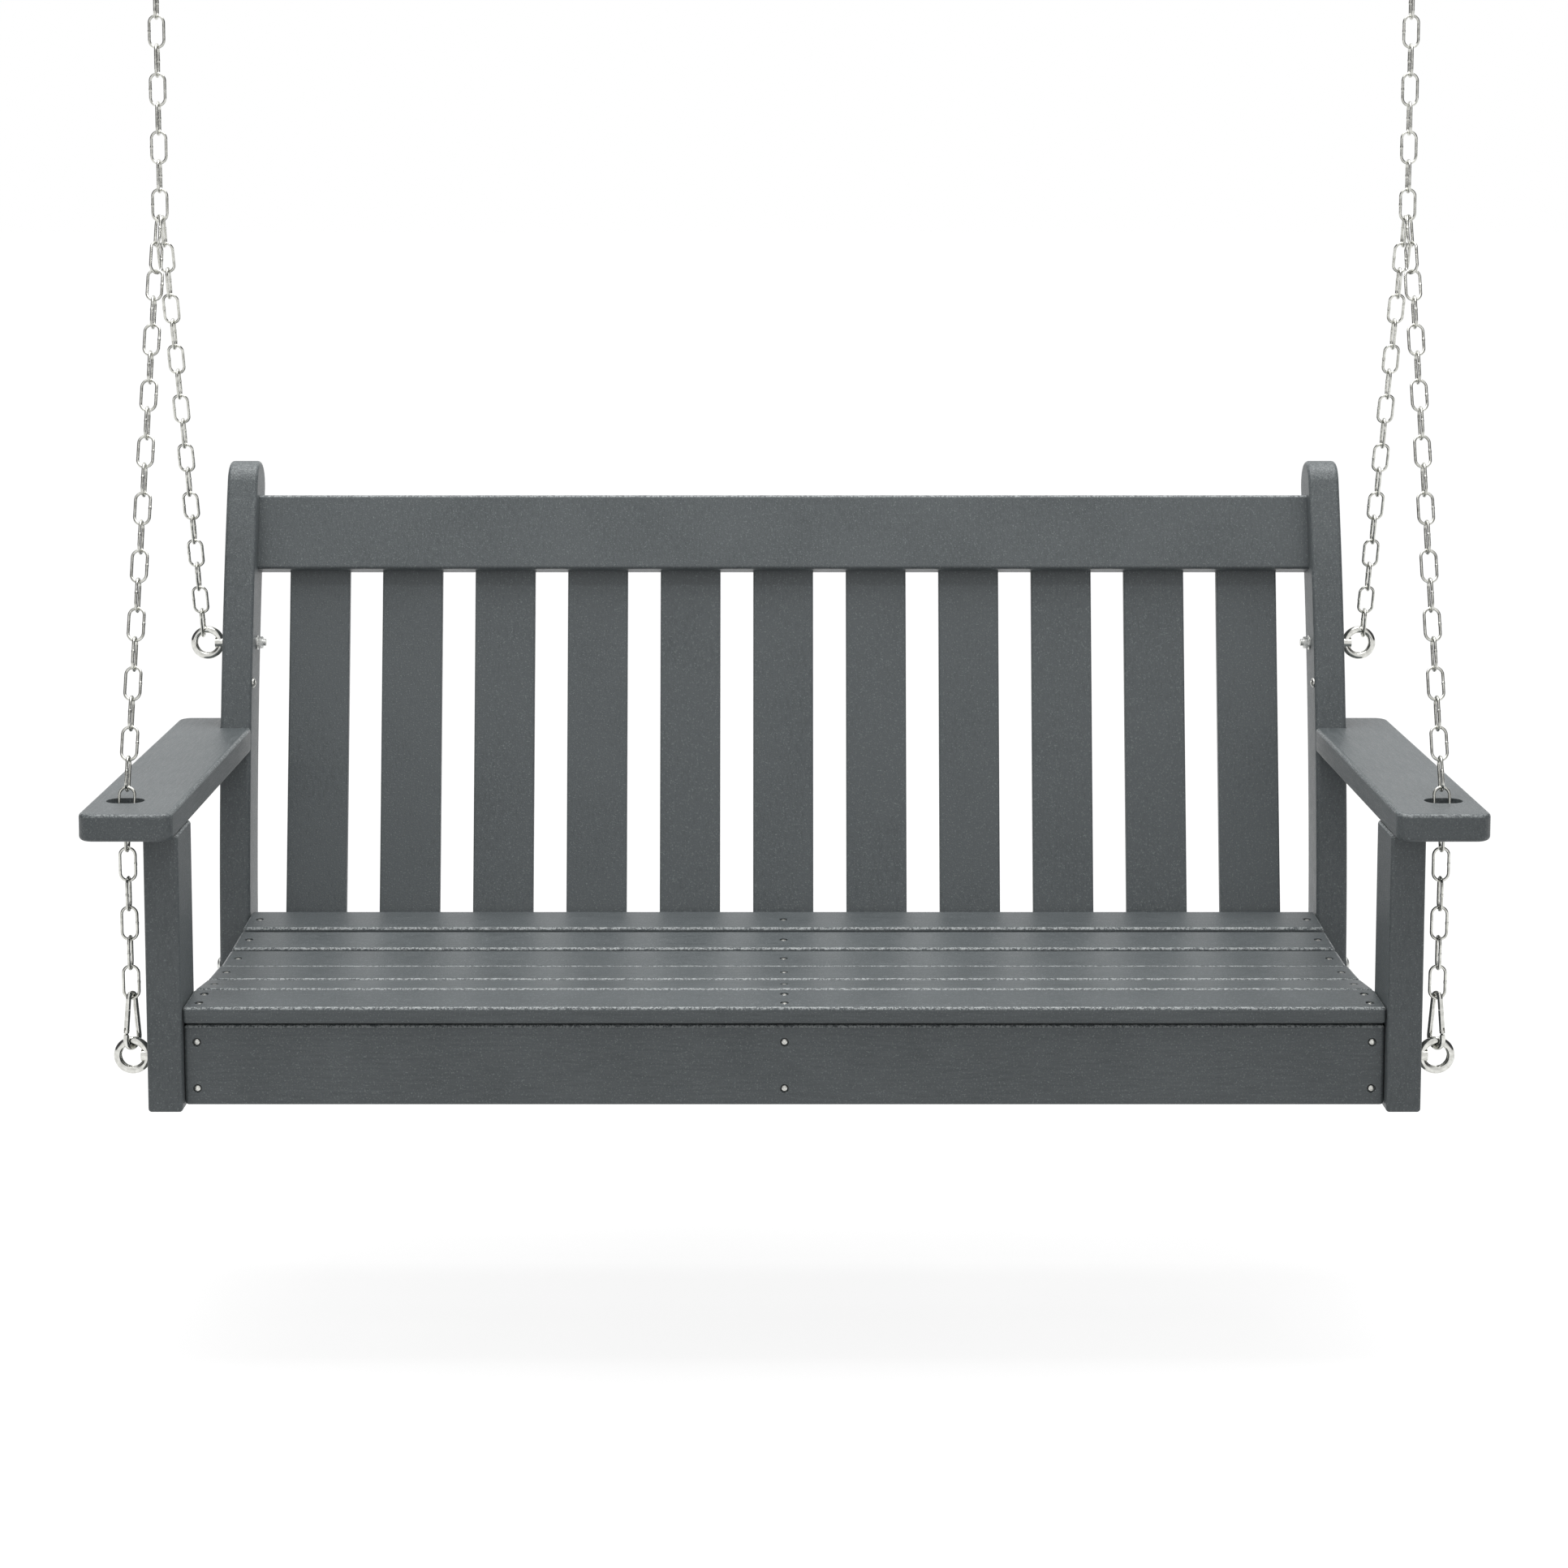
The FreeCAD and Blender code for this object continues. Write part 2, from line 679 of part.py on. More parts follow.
def arm():
    """A flat arm board: round plan corners, a notch around the stile and a slot for the chain."""
    body = doc.addObject("PartDesign::Body", "arm_board")
    front, back = "0 - arm_overhang", "arm_length - arm_overhang"
    corners = [("0", front), ("arm_width", front), ("arm_width", back), ("0", back)]
    pad(body, outline(body, "XY_Plane", corners), "arm_thick")
    notch = [
        ("notch_depth", "0 - 1"),
        ("arm_length", "0 - 1"),
        ("arm_length", "arm_thick + 1"),
        ("notch_depth + notch_rise", "arm_thick + 1"),
    ]
    before = body.Shape.Volume
    pad(body, outline(body, "YZ_Plane", notch), "stock + 0.2", cut=True)
    assert body.Shape.Volume < before

    def plan_corner(edge):
        box = edge.BoundBox
        outer = box.XMin > value("arm_width") - 1
        return box.ZLength > 20 and box.XLength < 1 and box.YLength < 1 and (outer or box.YMin < 0)

    soften(body, "arm_corner", plan_corner)
    slot = new_sketch(body, "XY_Plane")
    half = (value("slot_length") - value("slot_width")) / 2
    cx, cy, r = value("slot_side"), value("slot_middle"), value("slot_width") / 2
    right = Part.ArcOfCircle(Part.Circle(Vector(cx + half, cy, 0), Z_AXIS, r), -math.pi / 2, math.pi / 2)
    left = Part.ArcOfCircle(Part.Circle(Vector(cx - half, cy, 0), Z_AXIS, r), math.pi / 2, 3 * math.pi / 2)
    slot.addGeometry(right)
    slot.addGeometry(Part.LineSegment(Vector(cx + half, cy + r, 0), Vector(cx - half, cy + r, 0)))
    slot.addGeometry(left)
    slot.addGeometry(Part.LineSegment(Vector(cx - half, cy - r, 0), Vector(cx + half, cy - r, 0)))
    for first, a, second, b in ((0, 2, 1, 1), (1, 2, 2, 1), (2, 2, 3, 1), (3, 2, 0, 1)):
        slot.addConstraint(Sketcher.Constraint("Tangent", first, a, second, b))
    slot.addConstraint(Sketcher.Constraint("Horizontal", 1))
    constrain(slot, "Radius", 0, text="slot_width / 2")
    constrain(slot, "DistanceX", -1, 1, 0, 3, text="slot_side + (slot_length - slot_width) / 2")
    constrain(slot, "DistanceX", -1, 1, 2, 3, text="slot_side - (slot_length - slot_width) / 2")
    constrain(slot, "DistanceY", -1, 1, 0, 3, text="slot_middle")
    before = body.Shape.Volume
    pad(body, slot, "arm_thick + 1", cut=True)
    assert body.Shape.Volume < before
    top = value("arm_thick")

    def rim(edge):
        """The edges around the upper and lower faces, but not those of the notch or the slot."""
        box = edge.BoundBox
        flat = box.ZLength < 0.5 and (box.ZMax > top - 0.5 or box.ZMin < 0.5)
        in_notch = box.YMin > value("notch_depth") - 8 and box.XMax < value("stock") + 2
        near_slot = abs(box.Center.y - cy) < r + 1 and abs(box.Center.x - cx) < half + r + 1
        in_slot = near_slot and box.XLength < half * 2 + r + 1
        return flat and not in_notch and not in_slot

    soften(body, "arm_edge", rim)
    place(body, "seat_half", "0", "leg_height")
    return body


arm_tools = [
    bore("seat_half + arm_width + 1", *ARM_SCREW, -X_AXIS, "recess", "recess_depth + 1"),
    bore("seat_half + arm_width + 1", *ARM_SCREW, -X_AXIS, pilot, "arm_width - stock + 2"),
]
dowel_in_arm = "dowel_length - dowel_in_leg + 2"
for depth in DOWEL_SPOTS:
    arm_tools.append(bore(leg_middle, depth, "leg_height - 1", Z_AXIS, shank, dowel_in_arm))
drilled(arm(), arm_tools, "arm_right")
mirror("arm_right")

arm_screw = wood_screw("arm_screw_length")
feature(
    "arm_screws",
    [
        set_at(arm_screw, point(f"{s} * (seat_half + arm_width - recess_depth)", *ARM_SCREW), X_AXIS * s)
        for s in (1, -1)
    ],
)
dowels = []
for s in (1, -1):
    for depth in DOWEL_SPOTS:
        base = point(f"{s} * (seat_half + stock / 2)", depth, "leg_height - dowel_in_leg")
        dowels.append(Part.makeCylinder(value("bolt_radius"), value("dowel_length"), base, Z_AXIS))
feature("arm_dowels", dowels)


# ---------------------------------------------------------------- bolts, nuts and washers


def eye_bolt(node, depth, height, inner_face):
    """An eye bolt: a ring in the X-Z plane, a collar and a shank that ends past the inner face."""
    ring_x = "(seat_half + stock + eye_reach)"
    outer_face = "(seat_half + stock)"
    ring = doc.addObject("Part::Torus", node + "_ring")
    bind(ring, "Radius1", "eye_radius")
    bind(ring, "Radius2", "eye_wire")
    ring.Placement = Placement(point(ring_x, depth, height), Rotation(Z_AXIS, Y_AXIS))
    collar = bore(outer_face, depth, height, X_AXIS, "collar_radius", "collar_length")
    rod_start = f"({inner_face} - bolt_end)"
    rod = bore(rod_start, depth, height, X_AXIS, "bolt_radius", f"{outer_face} + 5 - {rod_start}")
    whole = doc.addObject("Part::MultiFuse", node)
    whole.Shapes = [ring, collar, rod]
    keep(whole, node)
    mirror(node)


STILE_INNER = "seat_half"
RAIL_INNER = "(seat_half - stock)"
eye_bolt("front_eye_bolt_right", "front_eye_depth", "front_eye_height", RAIL_INNER)
eye_bolt("rear_eye_bolt_right", "rear_eye_depth", "rear_eye_height", STILE_INNER)

carriage_length = 2 * value("stock") + value("bolt_end")
carriage_bolt = fastener(value("bolt_head"), value("bolt_dome"), value("bolt_radius"), carriage_length)
feature(
    "carriage_bolts",
    [set_at(carriage_bolt, point(f"{s} * (seat_half + stock)", *CARRIAGE), X_AXIS * s) for s in (1, -1)],
)


def hexagon(height, hole):
    corners = [Vector(value("nut_radius") * math.cos(a), value("nut_radius") * math.sin(a), 0)
               for a in (math.radians(60 * k) for k in range(7))]
    prism = Part.Face(Part.makePolygon(corners)).extrude(Vector(0, 0, height))
    return prism.cut(Part.makeCylinder(hole, height))


bolt_hole = value("bolt_radius") + value("hole_gap")
washer = Part.makeCylinder(value("washer_radius"), value("washer_thick"))
washer = washer.cut(Part.makeCylinder(bolt_hole, value("washer_thick")))
nut = hexagon(value("nut_height"), bolt_hole)
BOLT_GROUPS = {
    "front_eye": (RAIL_INNER, "front_eye_depth", "front_eye_height"),
    "rear_eye": (STILE_INNER, "rear_eye_depth", "rear_eye_height"),
    "carriage": (RAIL_INNER, *CARRIAGE),
}
nuts, washers = [], []
for x, depth, height in BOLT_GROUPS.values():
    for s in (1, -1):
        washers.append(set_at(washer, point(f"{s} * {x}", depth, height), X_AXIS * -s))
        nuts.append(set_at(nut, point(f"{s} * ({x} - washer_thick)", depth, height), X_AXIS * -s))
feature("bolt_nuts", nuts)
feature("bolt_washers", washers)


# ---------------------------------------------------------------- chains


def link(pitch):
    """One chain link along Z, its width along X: two half-rings joined by two straight sides."""
    wire, bend = value("link_wire"), value("link_bend")
    half = pitch / 2 + wire - bend
    disc = Part.Face(Part.Wire(Part.makeCircle(wire, Vector(bend, 0, half), Z_AXIS)))
    other = Part.Face(Part.Wire(Part.makeCircle(wire, Vector(-bend, 0, -half), Z_AXIS)))
    pieces = [
        disc.revolve(Vector(0, 0, half), -Y_AXIS, 180),
        disc.extrude(Vector(0, 0, -2 * half)),
        other.revolve(Vector(0, 0, -half), -Y_AXIS, 180),
        other.extrude(Vector(0, 0, 2 * half)),
    ]
    return pieces[0].multiFuse(pieces[1:]).removeSplitter()


# neighbouring links of one run are a hair apart
LINK_PLAY = 0.12


def chain_run(start, end, count, turns):
    """Links from start to end, where each end is the inside of a link's bend. A turn of 0 faces front."""
    step = (end - start) * (1.0 / count)
    shape = link(step.Length + LINK_PLAY)
    along = Vector(step).normalize()
    links = []
    for i in range(count):
        turn = math.radians(turns(i))
        side = X_AXIS * math.cos(turn) + Y_AXIS * math.sin(turn)
        side = (side - along * side.dot(along)).normalize()
        normal = along.cross(side)
        middle = start + step * (i + 0.5)
        copy = shape.copy()
        copy.Placement = Placement(
            Matrix(
                side.x, normal.x, along.x, middle.x,
                side.y, normal.y, along.y, middle.y,
                side.z, normal.z, along.z, middle.z,
                0, 0, 0, 1,
            )
        )
        links.append(copy)
    return links


JOINT_GAP = 0.3
split_top = "split_height + link_wire"
hook_contact = point("hang_side", "hang_depth", f"hang_height + hook_wire + {JOINT_GAP}")
split_contact = point("hang_side", "hang_depth", split_top)
upper = chain_run(hook_contact, split_contact, int(value("upper_links")), lambda i: 90 if i % 2 == 0 else 0)

# the branches hang side by side in the lowest upper link, each clear of it and of the other
REAR_SIDE, REAR_LIFT = -2.4, 1.2
FRONT_SIDE, FRONT_LIFT = 2.0, 2.4
rear_start = split_contact + Vector(REAR_SIDE, 0, REAR_LIFT)
front_start = split_contact + Vector(FRONT_SIDE, 0, FRONT_LIFT)

RING_OFFSET = 5.0
ring_clear = value("eye_radius - eye_wire - link_wire") - 0.3
rear_drop = math.sqrt(ring_clear**2 - RING_OFFSET**2) + value("link_wire")
ring_side = f"seat_half + stock + eye_reach + {RING_OFFSET}"
# the last link leans with its chain, so its bend sits behind the middle of the ring's bar
BEND_BACK = 1.7
rear_end = point(ring_side, f"rear_eye_depth + {BEND_BACK}", f"rear_eye_height + {rear_drop}")
rear = chain_run(rear_start, rear_end, int(value("rear_links")), lambda i: 90 if i % 2 == 0 else 0)

slot_x = "seat_half + slot_side"
slot_entry = point(slot_x, "slot_entry_depth", "slot_entry_height")
slot_exit = point(slot_x, "slot_exit_depth", "slot_exit_height")
chain_end = point("seat_half + stock + eye_reach", "front_eye_depth", "snap_top - snap_wire - 0.7")
# the first two links take up a quarter turn, and the rest alternate
TWISTED = {0: 64, 1: 122}
slant = chain_run(
    front_start, slot_entry, int(value("slant_links")), lambda i: TWISTED.get(i, 0 if i % 2 == 0 else 90)
)
through_slot = chain_run(slot_entry, slot_exit, 1, lambda i: 0)
drop = chain_run(slot_exit, chain_end, int(value("drop_links")), lambda i: 90 if i % 2 == 0 else 0)

feature("upper_chain_right", upper)
feature("rear_chain_right", rear)
feature("front_chain_right", slant + through_slot + drop)
for node in ("upper_chain_right", "rear_chain_right", "front_chain_right"):
    mirror(node)


# ---------------------------------------------------------------- snap hooks


# the pear-shaped centre line: a wide bend below, a narrow one above and a straight leg on each side
wide, narrow = value("snap_wide"), value("snap_narrow")
low, high = value("snap_bottom") + wide, value("snap_top") - narrow
lean = math.asin((wide - narrow) / (high - low))
# each end of the front leg as a place in the hook's plane: across it, and up
low_end = (wide * math.cos(lean), low + wide * math.sin(lean))
high_end = (narrow * math.cos(lean), high + narrow * math.sin(lean))

turn = math.radians(value("snap_turn"))
# the plane's u axis points to the front, and is turned outward
U_AXIS = Vector(math.sin(turn), -math.cos(turn), 0)
V_AXIS = Z_AXIS.cross(U_AXIS)
snap_origin = point("seat_half + stock + eye_reach", "front_eye_depth", "0")


def snap_place(u, height, off=0.0):
    return snap_origin + U_AXIS * u + Z_AXIS * height + V_AXIS * off


leg_along = (snap_place(*high_end) - snap_place(*low_end)).normalize()
leg_across = V_AXIS.cross(leg_along)


def leg_place(height, across=0.0, off=0.0):
    """A place on the front leg's centre line, with steps across the leg and out of its plane."""
    base, top = snap_place(*low_end), snap_place(*high_end)
    share = (height - low_end[1]) / (high_end[1] - low_end[1])
    return base + (top - base) * share + leg_across * across + V_AXIS * off


def swept_round(path, radius):
    """A round bar along a smooth path."""
    wire = Part.Wire(path)
    first = wire.Edges[0]
    start = first.valueAt(first.FirstParameter)
    profile = Part.Wire(Part.makeCircle(radius, start, first.tangentAt(first.FirstParameter)))
    return wire.makePipeShell([profile], True, True)


pin_at = value("gate_pin_height")
gate_top = pin_at + value("gate_length")
SHOULDER = 5.2
wire_radius = value("snap_wire")
front_low, back_low = snap_place(*low_end), snap_place(-low_end[0], low_end[1])
front_high, back_high = snap_place(*high_end), snap_place(-high_end[0], high_end[1])
path = [
    Part.makeLine(leg_place(pin_at - SHOULDER), front_low),
    Part.Arc(front_low, snap_place(0, low - wide), back_low).toShape(),
    Part.makeLine(back_low, back_high),
    Part.Arc(back_high, snap_place(0, high + narrow), front_high).toShape(),
    Part.makeLine(front_high, leg_place(gate_top + 0.5)),
]
snap_bar = swept_round(path, wire_radius)


def slab(bottom, top, half_width, thick):
    """A flat piece in the snap hook's plane, along the front leg."""
    corners = [leg_place(bottom, -half_width), leg_place(bottom, half_width),
               leg_place(top, half_width), leg_place(top, -half_width)]
    corners = [c - V_AXIS * (thick / 2) for c in corners]
    return Part.Face(Part.makePolygon(corners + corners[:1])).extrude(V_AXIS * thick)


def across_pin(radius, length):
    return Part.makeCylinder(radius, length, leg_place(pin_at) - V_AXIS * (length / 2), V_AXIS)


TONGUE_HALF = 2.1
tongue = slab(pin_at - SHOULDER - 1.5, pin_at, TONGUE_HALF, value("tongue_thick"))
tongue = tongue.fuse(across_pin(TONGUE_HALF, value("tongue_thick")))
pin_radius = value("gate_pin_radius")
snap_body = snap_bar.fuse(tongue).cut(across_pin(pin_radius + 0.05, 20.0)).removeSplitter()
feature("snap_hook_right", [snap_body])

GATE_HEEL = 3.2
gate_radius = value("gate_radius")
gate_start = leg_place(pin_at - GATE_HEEL)
gate = Part.makeCylinder(gate_radius, (leg_place(gate_top) - gate_start).Length, gate_start, leg_along)
gate = gate.cut(slab(pin_at - GATE_HEEL - 1, pin_at + 3.0, gate_radius + 1, value("tongue_thick") + 0.6))
gate = gate.cut(across_pin(pin_radius + 0.05, 20.0))
feature("snap_gate_right", [gate])
feature("gate_pin_right", [across_pin(pin_radius, 2 * gate_radius + 0.6)])
for node in ("snap_hook_right", "snap_gate_right", "gate_pin_right"):
    mirror(node)


# ---------------------------------------------------------------- ceiling hooks


def ceiling_hook():
    """A screw hook: a straight shank with a point, a neck bend and an open bowl."""
    bowl, neck, top = value("hook_bowl"), value("hook_neck"), value("hook_top")
    center = Vector(value("hang_side"), 0, bowl)

    def on_bowl(degrees):
        angle = math.radians(degrees)
        return center + Vector(math.cos(angle), 0, math.sin(angle)) * bowl

    # the neck's arc is tangent to the shank and to the bowl
    rise = math.sqrt((bowl + neck) ** 2 - neck**2)
    neck_center = center + Vector(-neck, 0, rise)
    meet = center + (neck_center - center).normalize() * bowl
    meet_angle = math.degrees(math.atan2(rise, -neck))
    neck_top = center + Vector(0, 0, rise)
    to_meet = (meet - neck_center).normalize()
    bulge = neck_center + (to_meet + X_AXIS).normalize() * neck
    shank_top = Vector(center.x, 0, top - 10)
    path = [
        Part.makeLine(shank_top, neck_top),
        Part.Arc(neck_top, bulge, meet).toShape(),
        Part.Arc(meet, on_bowl((meet_angle + 385) / 2), on_bowl(385)).toShape(),
    ]
    radius = value("hook_wire")
    point_cone = Part.makeCone(radius, 0.6, 10, shank_top, Z_AXIS)
    return swept_round(path, radius).fuse(point_cone).removeSplitter()


feature("ceiling_hook_right", [ceiling_hook()])
mirror("ceiling_hook_right")


# ---------------------------------------------------------------- checks and export

doc.recompute()
for obj in doc.Objects:
    if {"Invalid", "Error"} & set(obj.State):
        raise RuntimeError(f"{obj.Label} did not build: {obj.State}")
for node, obj in NODES.items():
    if obj.Shape.isNull() or not obj.Shape.isValid() or not obj.Shape.Solids:
        raise RuntimeError(f"{node} has no valid shape")

os.makedirs("parts", exist_ok=True)
for node, obj in NODES.items():
    obj.Shape.exportStep(f"parts/{node}.step")
print(len(NODES), "nodes;", sum(len(o.Shape.Solids) for o in NODES.values()), "solids")
runs = {"upper": upper, "rear": rear, "slant": slant, "through_slot": through_slot, "drop": drop}
for name, links in runs.items():
    print(name, len(links), "links")
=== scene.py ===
"""Looks of the porch swing: plastic-lumber boards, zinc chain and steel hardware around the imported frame.

Everything is in metres in the row frame: +X along the swing, -Y in front of it, +Z up, and the middle of the
hang axis at the origin.
"""

import json
import math
import random

import bpy
import numpy as np
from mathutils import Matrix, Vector

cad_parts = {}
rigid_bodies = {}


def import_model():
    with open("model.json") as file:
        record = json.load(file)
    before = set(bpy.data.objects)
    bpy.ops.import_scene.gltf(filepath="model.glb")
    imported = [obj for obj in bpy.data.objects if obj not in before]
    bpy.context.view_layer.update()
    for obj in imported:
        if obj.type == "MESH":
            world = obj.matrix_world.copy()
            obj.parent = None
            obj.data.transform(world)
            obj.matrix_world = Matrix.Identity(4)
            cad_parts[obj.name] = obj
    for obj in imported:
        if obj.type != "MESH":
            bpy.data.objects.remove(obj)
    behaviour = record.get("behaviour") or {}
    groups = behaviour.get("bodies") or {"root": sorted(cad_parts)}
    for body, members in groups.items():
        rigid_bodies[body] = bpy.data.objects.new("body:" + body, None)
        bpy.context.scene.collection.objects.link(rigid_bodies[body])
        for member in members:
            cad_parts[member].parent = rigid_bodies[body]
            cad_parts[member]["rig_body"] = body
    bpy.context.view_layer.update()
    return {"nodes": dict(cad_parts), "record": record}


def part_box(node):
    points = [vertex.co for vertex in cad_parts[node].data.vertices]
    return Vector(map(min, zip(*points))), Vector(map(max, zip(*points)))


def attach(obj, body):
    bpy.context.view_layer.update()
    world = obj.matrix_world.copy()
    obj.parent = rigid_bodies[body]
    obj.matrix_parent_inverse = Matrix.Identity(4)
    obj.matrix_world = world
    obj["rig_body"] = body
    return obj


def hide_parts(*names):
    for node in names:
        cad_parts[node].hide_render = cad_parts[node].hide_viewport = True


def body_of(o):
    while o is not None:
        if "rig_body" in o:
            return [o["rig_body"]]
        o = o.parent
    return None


for leftover in list(bpy.data.objects):
    bpy.data.objects.remove(leftover)

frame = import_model()
NODES = frame["nodes"]
MM = 0.001


# ---------------------------------------------------------------- material graphs


class Graph:
    """A material with a Principled shader, and short calls that add nodes to it."""

    def __init__(self, name):
        self.material = bpy.data.materials.new(name)
        self.material.use_nodes = True
        self.tree = self.material.node_tree
        self.tree.nodes.clear()
        output = self.tree.nodes.new("ShaderNodeOutputMaterial")
        self.shader = self.tree.nodes.new("ShaderNodeBsdfPrincipled")
        self.tree.links.new(self.shader.outputs["BSDF"], output.inputs["Surface"])
        self.coords = self.tree.nodes.new("ShaderNodeTexCoord")

    def put(self, value, socket):
        """Links a socket to another, or sets its value."""
        if isinstance(value, bpy.types.NodeSocket):
            self.tree.links.new(value, socket)
        else:
            socket.default_value = value

    def mapped(self, shift=(0, 0, 0), turn=(0, 0, 0)):
        """Object coordinates, moved and turned."""
        node = self.tree.nodes.new("ShaderNodeMapping")
        self.put(self.coords.outputs["Object"], node.inputs["Vector"])
        self.put(shift, node.inputs["Location"])
        self.put(turn, node.inputs["Rotation"])
        return node.outputs["Vector"]

    def noise(self, vector, scale, detail=2.0, roughness=0.5):
        node = self.tree.nodes.new("ShaderNodeTexNoise")
        self.put(vector, node.inputs["Vector"])
        self.put(scale, node.inputs["Scale"])
        self.put(detail, node.inputs["Detail"])
        self.put(roughness, node.inputs["Roughness"])
        return node.outputs["Fac"]

    def math(self, operation, a, b=0.0):
        node = self.tree.nodes.new("ShaderNodeMath")
        node.operation = operation
        self.put(a, node.inputs[0])
        self.put(b, node.inputs[1])
        return node.outputs[0]

    def spread(self, value, low, high, to_low=0.0, to_high=1.0):
        """A value mapped from one range to another, held at the ends."""
        node = self.tree.nodes.new("ShaderNodeMapRange")
        node.clamp = True
        for number, socket in zip((value, low, high, to_low, to_high), node.inputs):
            self.put(number, socket)
        return node.outputs["Result"]

    def mix(self, share, a, b):
        node = self.tree.nodes.new("ShaderNodeMix")
        node.data_type = "RGBA"
        self.put(share, node.inputs["Factor"])
        self.put(a, node.inputs["A"])
        self.put(b, node.inputs["B"])
        return node.outputs["Result"]

    def bump(self, height, distance, strength=1.0, onto=None):
        node = self.tree.nodes.new("ShaderNodeBump")
        self.put(strength, node.inputs["Strength"])
        self.put(distance, node.inputs["Distance"])
        self.put(height, node.inputs["Height"])
        if onto is not None:
            self.put(onto, node.inputs["Normal"])
        return node.outputs["Normal"]


def rgb(red, green, blue):
    """A linear colour from 0-255 screen values, all of them above the curve's straight foot."""
    return tuple(((c / 255 + 0.055) / 1.055) ** 2.4 for c in (red, green, blue)) + (1,)


LUMBER_DARK = rgb(73, 78, 80)
LUMBER_MID = rgb(89, 94, 96)
# pale specks: painted glints of light, where a fine relief would catch the light
LUMBER_PAINTED_GLINT = rgb(140, 147, 147)
# pale edge colour: wear, and a painted highlight where rounded edges face up to the light
LUMBER_WEAR_AND_HIGHLIGHT = rgb(176, 181, 181)
# how far the grain is drawn out along a board: upright boards have a short, stippled grain
GRAIN = {"X": (0.09, 1, 1), "Y": (1, 0.09, 1), "Z": (1, 1, 0.35)}
# noises as a scale per metre, a detail and a roughness
FIBRES = (330, 3.0, 0.65)
HAIRS = (1300, 2.0, 0.6)
SPECKLE = (560, 2.0, 0.65)
CHIPS = (330, 2.0, 0.7)
CLOUD = (9, 3.0, 0.55)
SPANGLE = (160, 3.0, 0.6)
TOOTH = (1800, 2.0, 0.5)
PITS = (900, 2.0, 0.7)


def lumber(name, along, tilt, seed, wear_and_highlight_share, painted_lift):
    """Recycled-plastic lumber: a brushed grain along the board, fine speckle with painted glints, and rounded
    edges that are worn and painted paler as a highlight.

    The edge share says how strongly the edges are marked with wear and a painted highlight, and the lift makes
    the board paler as painted light.
    """
    g = Graph(name)
    draw = random.Random(seed)
    shift = tuple(draw.uniform(-5, 5) for _ in range(3))
    straight = g.mapped(shift, (-tilt, 0, 0))
    stretch = g.tree.nodes.new("ShaderNodeVectorMath")
    stretch.operation = "MULTIPLY"
    g.put(straight, stretch.inputs[0])
    g.put(GRAIN[along], stretch.inputs[1])
    grained = stretch.outputs["Vector"]

    fibres = g.noise(grained, *FIBRES)
    hairs = g.noise(grained, *HAIRS)
    speckle = g.noise(straight, *SPECKLE)
    chips = g.noise(straight, *CHIPS)
    cloud = g.noise(straight, *CLOUD)

    # rounded edges face none of the board's own axes; those that look upward are worn and painted paler, a
    # painted highlight as from light above
    turned = g.tree.nodes.new("ShaderNodeVectorRotate")
    turned.rotation_type = "X_AXIS"
    g.put(g.coords.outputs["Normal"], turned.inputs["Vector"])
    g.put(-tilt, turned.inputs["Angle"])
    parts = g.tree.nodes.new("ShaderNodeSeparateXYZ")
    g.put(turned.outputs["Vector"], parts.inputs["Vector"])
    sizes = [g.math("ABSOLUTE", parts.outputs[axis]) for axis in "XYZ"]
    most = g.math("MAXIMUM", g.math("MAXIMUM", sizes[0], sizes[1]), sizes[2])
    facing_up = g.spread(parts.outputs["Z"], 0.12, 0.40)
    edge = g.math("MULTIPLY", g.spread(most, 0.985, 0.92), facing_up)
    wear_and_highlight = g.math("MULTIPLY", edge, g.spread(g.math("ADD", speckle, chips), 0.93, 1.08))

    tone = g.math("ADD", g.math("MULTIPLY", fibres, 0.65), g.math("MULTIPLY", cloud, 0.35))
    # the lift moves the tone paler: painted light on the back's boards
    colour = g.mix(g.spread(tone, 0.36 - painted_lift, 0.64 - painted_lift), LUMBER_DARK, LUMBER_MID)
    # pale specks over the grain: painted glints
    colour = g.mix(g.math("MULTIPLY", g.spread(speckle, 0.57, 0.72), 0.55), colour, LUMBER_PAINTED_GLINT)
    # edges that face up are painted paler: wear together with a painted highlight
    colour = g.mix(g.math("MULTIPLY", wear_and_highlight, wear_and_highlight_share), colour, LUMBER_WEAR_AND_HIGHLIGHT)
    g.put(colour, g.shader.inputs["Base Color"])

    rough = g.spread(fibres, 0.3, 0.7, 0.36, 0.50)
    g.put(g.math("SUBTRACT", rough, g.math("MULTIPLY", wear_and_highlight, 0.14)), g.shader.inputs["Roughness"])
    g.shader.inputs["Specular IOR Level"].default_value = 0.40

    relief = g.bump(fibres, 0.5 * MM, 0.6)
    relief = g.bump(hairs, 0.15 * MM, 0.5, relief)
    relief = g.bump(speckle, 0.5 * MM, 0.7, relief)
    g.put(relief, g.shader.inputs["Normal"])
    return g.material


def steel(name, bright, dull, rough_low, rough_high, relief=0.04 * MM):
    """Plated or stainless steel: a mottled sheen, a fine tooth and dull spots."""
    g = Graph(name)
    flat = g.mapped()
    spangle = g.noise(flat, *SPANGLE)
    tooth = g.noise(flat, *TOOTH)
    pits = g.noise(flat, *PITS)
    colour = g.mix(g.spread(spangle, 0.38, 0.62), dull, bright)
    colour = g.mix(g.math("MULTIPLY", g.spread(pits, 0.62, 0.72), 0.4), colour, dull)
    g.put(colour, g.shader.inputs["Base Color"])
    g.shader.inputs["Metallic"].default_value = 1.0
    g.put(g.spread(spangle, 0.3, 0.7, rough_low, rough_high), g.shader.inputs["Roughness"])
    shaped = g.bump(tooth, relief, 0.5)
    g.put(g.bump(pits, relief * 2, 0.35, shaped), g.shader.inputs["Normal"])
    return g.material


